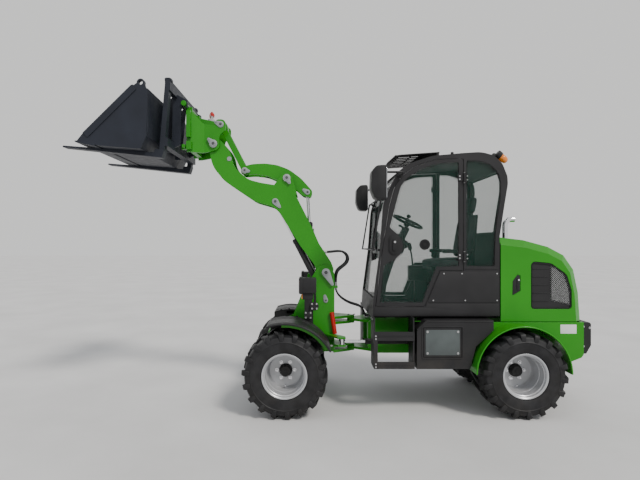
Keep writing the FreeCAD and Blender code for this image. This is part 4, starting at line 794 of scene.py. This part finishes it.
def add_front_frame_trim():
    lips = Piece()
    for y in (728, 252):
        lips.tube(at(y, arc(FRONT_AXLE, 474, 70, 151)), 6)
    for y in (690, 655, 400, 330):
        lips.tube(at(y, arc(FRONT_AXLE, 474.5, 72, 149)), 5)
    for place in at(250, ((455, 836), (560, 866), (660, 872), (750, 862))):
        lips.disc(place, -Y_AXIS, 9, 5, 16)
    lips.both("fender_lips", PLASTIC, FRONT)
    ribs = Piece()
    for span in ((250, 262), (640, 652)):
        ribs.outline(arc(FRONT_AXLE, 461, 86, 149) + arc(FRONT_AXLE, 430, 149, 86), span, bevel=1)
    ribs.both("fender_ribs", GREEN, FRONT)
    bolts = Piece().bolts(170, ((214, 560), (214, 660), (800, 560), (800, 680), (470, 650),
                                (585, 650), (560, 560), (450, 560)), 9)
    for x in (-30, 30):
        bolts.bolt((x, 0, 848), Z_AXIS, 8)
    bolts.both("frame_bolts", STEEL, FRONT)
    hubs = Piece()
    for place in at(414, arc(FRONT_AXLE, 105, 0, 315, 7)):
        hubs.bolt(place, -Y_AXIS, 7)
    hubs.both("front_hub_bolts", STEEL, FRONT)


add_lamps()
add_front_frame_trim()


# Cab

DOOR_WINDOW = [
    (-228, 1034, 12), (-264, 1386, 12), (-371, 1440, 40), (-432, 1497, 60), (-449, 1576, 60),
    (-421, 1653, 60), (-320, 1742, 25), (-374, 1945, 300), (-424, 2128, 150), (-485, 2206, 120),
    (-616, 2293, 200), (-771, 2345, 300), (-972, 2358, 20), (-972, 1375, 20), (-762, 1372, 15),
    (-628, 1034, 15)]
QUARTER_WINDOW = [
    (-1044, 1376, 15), (-1308, 1376, 15), (-1316, 1675), (-1338, 1853), (-1364, 2009, 300),
    (-1368, 2175, 200), (-1338, 2268, 120), (-1266, 2336, 120), (-1149, 2372, 200),
    (-1044, 2370, 15)]
HINGES = ((1436, 1496), (2178, 2238))


def seal(outline, span):
    """A rubber strip round a window's edge."""
    corners = rounded(outline)
    return Piece().band(shrunk(corners, -9), shrunk(corners, 7), span, 0.8)


def add_door_fittings():
    for label, side in SIDES:
        body = "door_" + label
        place = on_side(side)
        seal(DOOR_WINDOW, (499, 503)).done("door_seal_" + label, SEAL, body, place=place)
        fittings = Piece()
        fittings.outline(rectangle((-416, -316), (1488, 1664), 49), (505, 510))
        fittings.outline(rectangle((-386, -346), (1520, 1632), 19), (510, 521), bevel=3)
        fittings.lathe((-649, 503, 1580), Y_AXIS, [(0, 34), (0, 50), (7, 50), (10, 46), (10, 34)],
                       closed=True)
        fittings.disc((-649, 503, 1580), Y_AXIS, 34, 5)
        fittings.disc((-649, 508, 1580), Y_AXIS, 13, 6, 24)
        fittings.tube([(-430, 466, 1500), (-452, 440, 1500), (-470, 430, 1560), (-470, 430, 1700),
                       (-452, 440, 1760), (-415, 466, 1760)], 10)
        fittings.done("door_lock_" + label, PLASTIC, body, place=place)
        on_door, on_frame = Piece(), Piece()
        on_door.disc((-366, 521, 1604), Y_AXIS, 11, 5, 24)
        for low, high in HINGES:
            on_door.bolts(508, ((-978, low + 15), (-978, high - 15)), 6)
            on_frame.disc((-1020, 512, high + 16), Z_AXIS, 8, 4, 24)
            on_frame.disc((-1020, 512, low - 16), -Z_AXIS, 8, 4, 24)
            on_frame.bolts(500, ((-1052, low + 12), (-1052, high - 12)), 5)
        on_door.done("door_bolts_" + label, STEEL, body, place=place)
        on_frame.done("hinge_pins_" + label, STEEL, REAR, place=place)


def add_cab_panels():
    panels = Piece()
    panels.outline(rounded([(-796, 1326, 14), (-1348, 1326, 14), (-1348, 1034, 14),
                            (-674, 1034, 14)]), (499, 504), bevel=1.5)
    panels.outline(rounded([(-1348, 1020, 8), (-1348, 916, 8), (-172, 916, 8), (-178, 986, 8),
                            (-660, 986, 8), (-668, 1020, 8)]), (499, 503), bevel=1)
    panels.outline(rectangle((-1348, -1028), (1344, 1364), 8), (499, 502.5), bevel=1)
    panels.disc((-926, 440, 2432), Z_AXIS, 14, 30, 24, 4)
    panels.both("cab_side_panels", DARK, REAR)
    bolts = Piece()
    for place in at(504, ((-1330, 1306), (-1330, 1054), (-1000, 1306), (-830, 1306),
                          (-730, 1054), (-1030, 1054))):
        bolts.disc(place, Y_AXIS, 7, 3, 16)
    bolts.both("cab_panel_screws", STEEL, REAR)
    strips = seal(QUARTER_WINDOW, (499, 503)).also_mirrored()
    for side in (-1, 1):
        strips.bar(at(459 * side, ((-184, 1074), (-241, 1503), (-276, 1977), (-354, 2159),
                                   (-430, 2272))), 7)
        strips.bar(at(420 * side, ((-1346, 1692), (-1385, 1942), (-1415, 2140), (-1405, 2278))), 7)
    for x, z, half in ((-186, 1076, 459), (-430, 2270, 459), (-1348, 1694, 420),
                       (-1406, 2276, 420)):
        strips.bar([(x, -half, z), (x, half, z)], 7)
    strips.done("window_seals", SEAL, REAR)


def add_wiper_and_guard():
    wiper = Piece().block((-238, -206), (-45, 45), (1420, 1490), 8)
    wiper.disc((-224, 0, 1470), X_AXIS, 15, 14, 24)
    wiper.tube([(-214, 0, 1470), (-216, -6, 1540), (-243, -40, 1760)], 5.5)
    wiper.tube([(-236, -40, 1540), (-250, -40, 1760), (-265, -40, 1960)], 5)
    wiper.done("wiper", PLASTIC, REAR)
    blade = Piece().tube([(-241, -40, 1535), (-256, -40, 1760), (-270, -40, 1965)], 3.5)
    blade.done("wiper_blade", SEAL, REAR)
    bars = Piece()
    for y in (-398, 398):
        bars.bar(at(y, ((-306, 2104), (-311, 2360), (-396, 2437), (-812, 2466))), 6)
    for x, z in ((-306, 2104), (-310.5, 2340), (-396, 2437.5), (-560, 2447), (-812, 2464.5)):
        bars.bar([(x, -398, z), (x, 398, z)], 5.5)
    for number in range(16):
        bars.bar(at(-372 + 49.6 * number, ((-308, 2150), (-311, 2352), (-396, 2438.5),
                                           (-640, 2455))), 3)
    for side in (-1, 1):
        y = 470 * side
        bars.bar(at(y, ((-165, 1530), (-175, 1596), (-236, 1966), (-246, 2030))), 7.5)
        for place in at(465 * side, ((-165, 1530), (-246, 2030))):
            bars.disc(place, Y_AXIS * side, 9, 14, 24)
        bars.disc((-231, y, 1530), X_AXIS, 14, 5, 24)
        bars.disc((-283, y, 2030), X_AXIS, 14, 12, 24)
    bars.done("guard_bars", DARK, REAR)


MIRROR_OUTLINE = [(-248, 1975, 22), (-248, 2285, 22), (-158, 2280, 50), (-114, 2230, 60),
                  (-108, 2070, 120), (-146, 1980, 50)]


def add_mirrors():
    shells, glasses = Piece(), Piece()
    shells.outline(rounded(MIRROR_OUTLINE), (635, 805), bevel=16)
    shells.tube([(-415, 500, 2230), (-415, 690, 2230), (-405, 716, 2230), (-370, 720, 2230),
                 (-240, 720, 2230)], 10)
    shells.block((-436, -394), (500, 512), (2206, 2254), 4)
    shells.lathe((-415, 512, 2230), Y_AXIS, [(0, 0), (0, 16), (22, 14), (26, 10), (26, 0)], 24)
    shells.block((-262, -240), (700, 740), (2210, 2250), 5)
    glasses.outline(rectangle((650, 790), (1990, 2270), 20), (-251, -247), "YZ", 0.8)
    shells.both("mirror_shells", PLASTIC, REAR, ["mirrors"])
    glasses.both("mirror_glasses", MIRROR, REAR)


def add_beacon():
    pointing = (math.cos(math.radians(219)), 0, math.sin(math.radians(219)))
    start = (-1365, 400, 2455)
    base = Piece().lathe(start, pointing, [(0, 0), (0, 38), (4, 42), (34, 42), (38, 40), (46, 40),
                                           (46, 0)])
    base.outline([(-1312, 2420), (-1372, 2361), (-1392, 2400), (-1380, 2450), (-1340, 2460)],
                 (394, 406), bevel=2)
    base.tube([(-1352, 400, 2452), (-1335, 400, 2462), (-1318, 400, 2440)], 5)
    base.done("beacon_base", PLASTIC, REAR, ["beacon"])
    dome = Piece().lathe(start, pointing, [(44, 0), (44, 37), (58, 36.5), (62, 35), (66, 36.2),
                                           (90, 35), (94, 33.5), (98, 34), (114, 28), (124, 16),
                                           (127.5, 0)])
    dome.done("beacon_dome", AMBER, REAR)


def cushion(name, centre, half, lean, grooves=(-0.55, 0.55)):
    """A crowned, padded form with sewn channels across it, given as shares of its half width."""
    shape = bmesh.new()
    bmesh.ops.create_uvsphere(shape, u_segments=64, v_segments=40, radius=1)
    for vert in shape.verts:
        direction = vert.co.copy()
        direction.x, direction.y, direction.z = (
            math.copysign(abs(part) ** 0.42, part) for part in vert.co)
        groove = sum(math.exp(-((direction.y - place) / 0.035) ** 2) for place in grooves)
        crown = 1 + 0.10 * (1 - direction.x ** 2) * (1 - direction.y ** 2)
        face = max(0.0, direction.z)
        direction.z *= crown - 0.10 * groove * face
        vert.co = Vector(part * size for part, size in zip(direction, half))
    piece = Piece().take(shape, Matrix.Translation(centre) @ Matrix.Rotation(lean, 4, "Y"))
    piece.done(name, FABRIC, REAR)


def add_seat():
    upright = math.radians(80)
    cushion("seat_cushion", (-980, 0, 1392), (212, 228, 44), 0.05)
    cushion("seat_backrest", (-1178, 0, 1668), (222, 218, 42), upright)
    cushion("seat_headrest", (-1236, 0, 1984), (84, 132, 34), upright, ())
    base = Piece().block((-1190, -790), (-215, 215), (1318, 1352), 10)
    base.block((-1150, -830), (-175, 175), (1258, 1320), 8)
    for level in range(5):
        fold, low = 8 * (level % 2), 1096 + 33 * level
        base.block((-1140 - fold, -840 + fold), (-165 - fold, 165 + fold), (low, low + 34), 10)
    base.block((-1160, -820), (-180, 180), (947, 1100), 8)
    base.outline([(-1222, 1356), (-1170, 1330), (-1232, 1880), (-1262, 1880)], (-190, 190), bevel=8)
    for y in (-40, 40):
        base.disc((-1248, y, 1868), (-0.14, 0, 1), 7, 110, 16)
    for side in (-1, 1):
        y = 262 * side
        base.block((-1120, -880), (y - 22, y + 22), (1494, 1530), 12)
        base.tube([(-1196, 214 * side, 1530), (-1180, y, 1516), (-1110, y, 1512)], 11)
    base.done("seat_base", PLASTIC, REAR, ["seat"])
    strap = Piece().tube([(-1180, 236, 1330), (-1130, 242, 1420), (-1084, 236, 1446)], 7)
    strap.done("seat_strap", FABRIC, REAR)
    buckle = Piece().block((-1100, -1066), (226, 246), (1440, 1482), 5)
    buckle.done("seat_buckle", RED, REAR)


def add_controls():
    place = Matrix.Translation((-590, 0, 1815)) @ Matrix.Rotation(math.radians(-25), 4, "Y")
    wheel = Piece()
    ring = [(13 * math.sin(math.radians(a)), 155 + 13 * math.cos(math.radians(a)))
            for a in range(0, 360, 30)]
    wheel.lathe((0, 0, 0), Z_AXIS, ring, 64, closed=True)
    for angle in (0, 120, 240):
        reach = Matrix.Rotation(math.radians(angle), 3, "Z") @ Vector((150, 0, 0))
        wheel.tube([(0, 0, -14), reach * 0.55 - 12 * Z_AXIS, reach], 9)
    wheel.lathe((0, 0, -50), Z_AXIS, [(0, 0), (0, 26), (20, 30), (46, 38), (54, 30), (56, 0)], 32)
    wheel.lathe((40, 150, 8), Z_AXIS, [(0, 0), (0, 9), (14, 9), (20, 21), (38, 21), (46, 12),
                                       (48, 0)], 24)
    wheel.done("steering_wheel", PLASTIC, REAR, ["console"], place)
    column = Piece().outline(rounded([(-330, 947), (-250, 947), (-300, 1240, 60), (-430, 1560, 60),
                                      (-552, 1772, 12), (-600, 1744, 12), (-430, 1380, 60),
                                      (-360, 1160, 60)]), (-62, 62), bevel=8)
    column.block((-520, -380), (-150, 150), (1640, 1660), 5, 35)
    for pedal in ((-160, -90), (90, 160)):
        column.block((-470, -330), pedal, (960, 985), 4, -18)
    column.tube([(-700, -285, 1350), (-690, -285, 1480), (-672, -285, 1530)], 9)
    column.lathe((-676, -285, 1518), (0.25, 0, 1), [(0, 0), (0, 14), (14, 22), (60, 24), (82, 16),
                                                    (86, 0)], 24)
    column.block((-1020, -650), (-330, -240), (1180, 1352), 14)
    column.block((-960, -720), (-310, -250), (947, 1184), 6)
    column.done("console_column", PLASTIC, REAR)


add_door_fittings()
add_cab_panels()
add_wiper_and_guard()
add_mirrors()
add_beacon()
add_seat()
add_controls()


# Rear body, side boxes and steps

GRILLE_OUTLINE = [(-1651, 973, 30), (-1651, 1423, 40), (-1840, 1405, 90), (-1988, 1300, 90),
                  (-2034, 1150, 60), (-2036, 973, 30)]
HANDLE_OUTLINE = [(-1523, 1300), (-1553, 1288), (-1553, 1140), (-1485, 1099), (-1473, 1103),
                  (-1476, 1237)]
ARCH_CENTRE = (-1510, 405)
MESH_AREA = [(-1836, 1052), (-1836, 1380), (-1890, 1366), (-1962, 1306), (-2004, 1204),
             (-2022, 1100), (-2022, 1010)]


def clipped(point, direction, area):
    """The ends of what lies of a line inside a convex area, or None where it's under 4 mm."""
    low, high = -1e6, 1e6
    for here, there in zip(area, area[1:] + area[:1]):
        edge = Vector(there) - Vector(here)
        normal = Vector((-edge.y, edge.x))
        rate, reach = normal.dot(direction), normal.dot(point - Vector(here))
        if abs(rate) > 1e-9:
            crossing = -reach / rate
            low, high = (low, min(high, crossing)) if rate > 0 else (max(low, crossing), high)
    return (point + direction * low, point + direction * high) if high - low > 4 else None


def add_hood_trim():
    frames = Piece()
    corners = rounded(GRILLE_OUTLINE)
    frames.band(shrunk(corners, -7), shrunk(corners, 12), (497, 504), 1.2)
    outer = rounded([(*point, 12) for point in MESH_AREA])
    frames.band(shrunk(outer, -9), shrunk(outer, 3), (490, 497), 1)
    for number in range(5):
        low = 1040 + 76 * number
        frames.block((-1820, -1668), (490, 495), (low, low + 10), 1.5)
    frames.outline(shrunk(HANDLE_OUTLINE, 5), (493, 496), bevel=1)
    frames.outline(rounded([(-1546, 1272, 8), (-1546, 1156, 8), (-1520, 1142, 8),
                            (-1520, 1264, 8)]), (496, 501), bevel=1.5)
    frames.both("hood_trim", PLASTIC, "hood")
    mesh = Piece()
    area = MESH_AREA[::-1]
    for slope in (1, -1):
        direction = Vector((1, slope)).normalized()
        across = Vector((-direction.y, direction.x))
        for number in range(-30, 31):
            point = Vector((-1930, 1195)) + across * (13 * number)
            span = clipped(point, direction, area)
            if span:
                mesh.bar(at(494 + slope, span), 1.6)
    mesh.both("hood_mesh", STEEL, "hood")
    Piece().disc((-1536, 501, 1246), Y_AXIS, 9, 4, 24).both("hood_locks", CHROME, "hood")


def add_rear_trim():
    plate = Piece().outline(rectangle((-1927, -2079), (741, 826), 4), (499.5, 501.5), bevel=0.5)
    plate.done("blank_plate", WHITE, REAR)
    bolts = Piece().bolts(400, ((-2262, 778), (-2200, 600), (-2200, 790)), 9)
    for y, way in ((202, Y_AXIS), (128, -Y_AXIS)):
        bolts.disc((-2228, y, 877), way, 11, 5, 24)
    for z in (600, 660, 790):
        bolts.bolt((-2162, 330, z), -X_AXIS, 9)
    bolts.both("counterweight_bolts", STEEL, REAR)
    pin = Piece().disc((-2238, 0, 828), Z_AXIS, 24, 8, 24)
    pin.tube([(-2238, 0, 834), (-2238, -10, 862), (-2238, 24, 872), (-2238, 30, 838)], 5)
    pin.done("tow_pin_head", STEEL, REAR)
    lips = Piece()
    lips.tube(at(687, arc(ARCH_CENTRE, 431, 1, 179, 24)), 6.5)
    lips.tube(at(500, arc(ARCH_CENTRE, 431, 30, 179, 24)), 4)
    lips.both("arch_lips", GREEN, REAR)
    lamps = Piece().block((-2164, -2146), (404, 486), (694, 786), 6)
    lamps.both("tail_lamp_frames", PLASTIC, REAR)
    pipe = Piece().lathe((-1526, 200, 1560), Z_AXIS, [
        (0, 62), (10, 60), (18, 40), (24, 30), (40, 30), (40, 27), (0, 27)], closed=True)
    pipe.done("exhaust_cone", CHROME, REAR)


def add_side_boxes_trim():
    plates, frames = Piece(), Piece()
    plates.outline(rectangle((-950, -634), (560, 794), 12), (599.5, 603), bevel=1)
    outer = rectangle((-985, -599), (525, 829), 16)
    frames.band(outer, shrunk(outer, 13), (598, 604), 1.2)
    frames.bar(at(600, ((-560, 790), (-640, 868), (-1256, 868))), 4)
    bolts = Piece().bolts(603, [(x, z) for x in (-932, -652) for z in (578, 776)], 8)
    plates.both("access_plates", PLATE, REAR)
    frames.both("side_box_frames", DARK, REAR)
    bolts.both("access_bolts", STEEL, REAR)
    Piece().block((-1240, -560), (478, 488), (852, 858), 1).both("sill_strips", GREEN, REAR)


def add_step_grips():
    grips = Piece()
    ring = [(0, 10), (3, 9), (3, 6.5), (0, 5.5)]
    for bottom, inner, face in ((698, 400, 739), (441, 480, 473)):
        for number in range(13):
            x = -506 + 26 * number
            grips.lathe((x, 629, face), Y_AXIS, ring, 16, closed=True)
            for row in range(int((615 - inner) / 42)):
                grips.lathe((x, 596 - 42 * row, bottom + 9), Z_AXIS, ring, 16, closed=True)
    bolts = Piece().bolts(630, [(-173, z) for z in (741, 715, 485, 458)], 6)
    for x, way in ((-156, X_AXIS), (-528, -X_AXIS)):
        for y in (430, 520):
            bolts.bolt((x, y, 880), way, 7)
    grips.both("step_grips", DARK, REAR)
    bolts.both("step_bolts", STEEL, REAR)


add_hood_trim()
add_rear_trim()
add_side_boxes_trim()
add_step_grips()


# Floor

def add_floor():
    mesh = bpy.data.meshes.new("floor")
    size = 60.0
    mesh.from_pydata([(-size, -size, 0), (size, -size, 0), (size, size, 0), (-size, size, 0)], [],
                     [(0, 1, 2, 3)])
    shader = Shader("floor", (0.62, 0.61, 0.60), 0.9)
    patches = shader.spread(shader.noise(0.9, 6), 0.3, 0.7)
    shader.set(Base_Color=shader.mixed(patches, (0.56, 0.55, 0.54), (0.64, 0.63, 0.62)))
    mesh.materials.append(shader.material)
    new_object("floor", mesh)


add_floor()
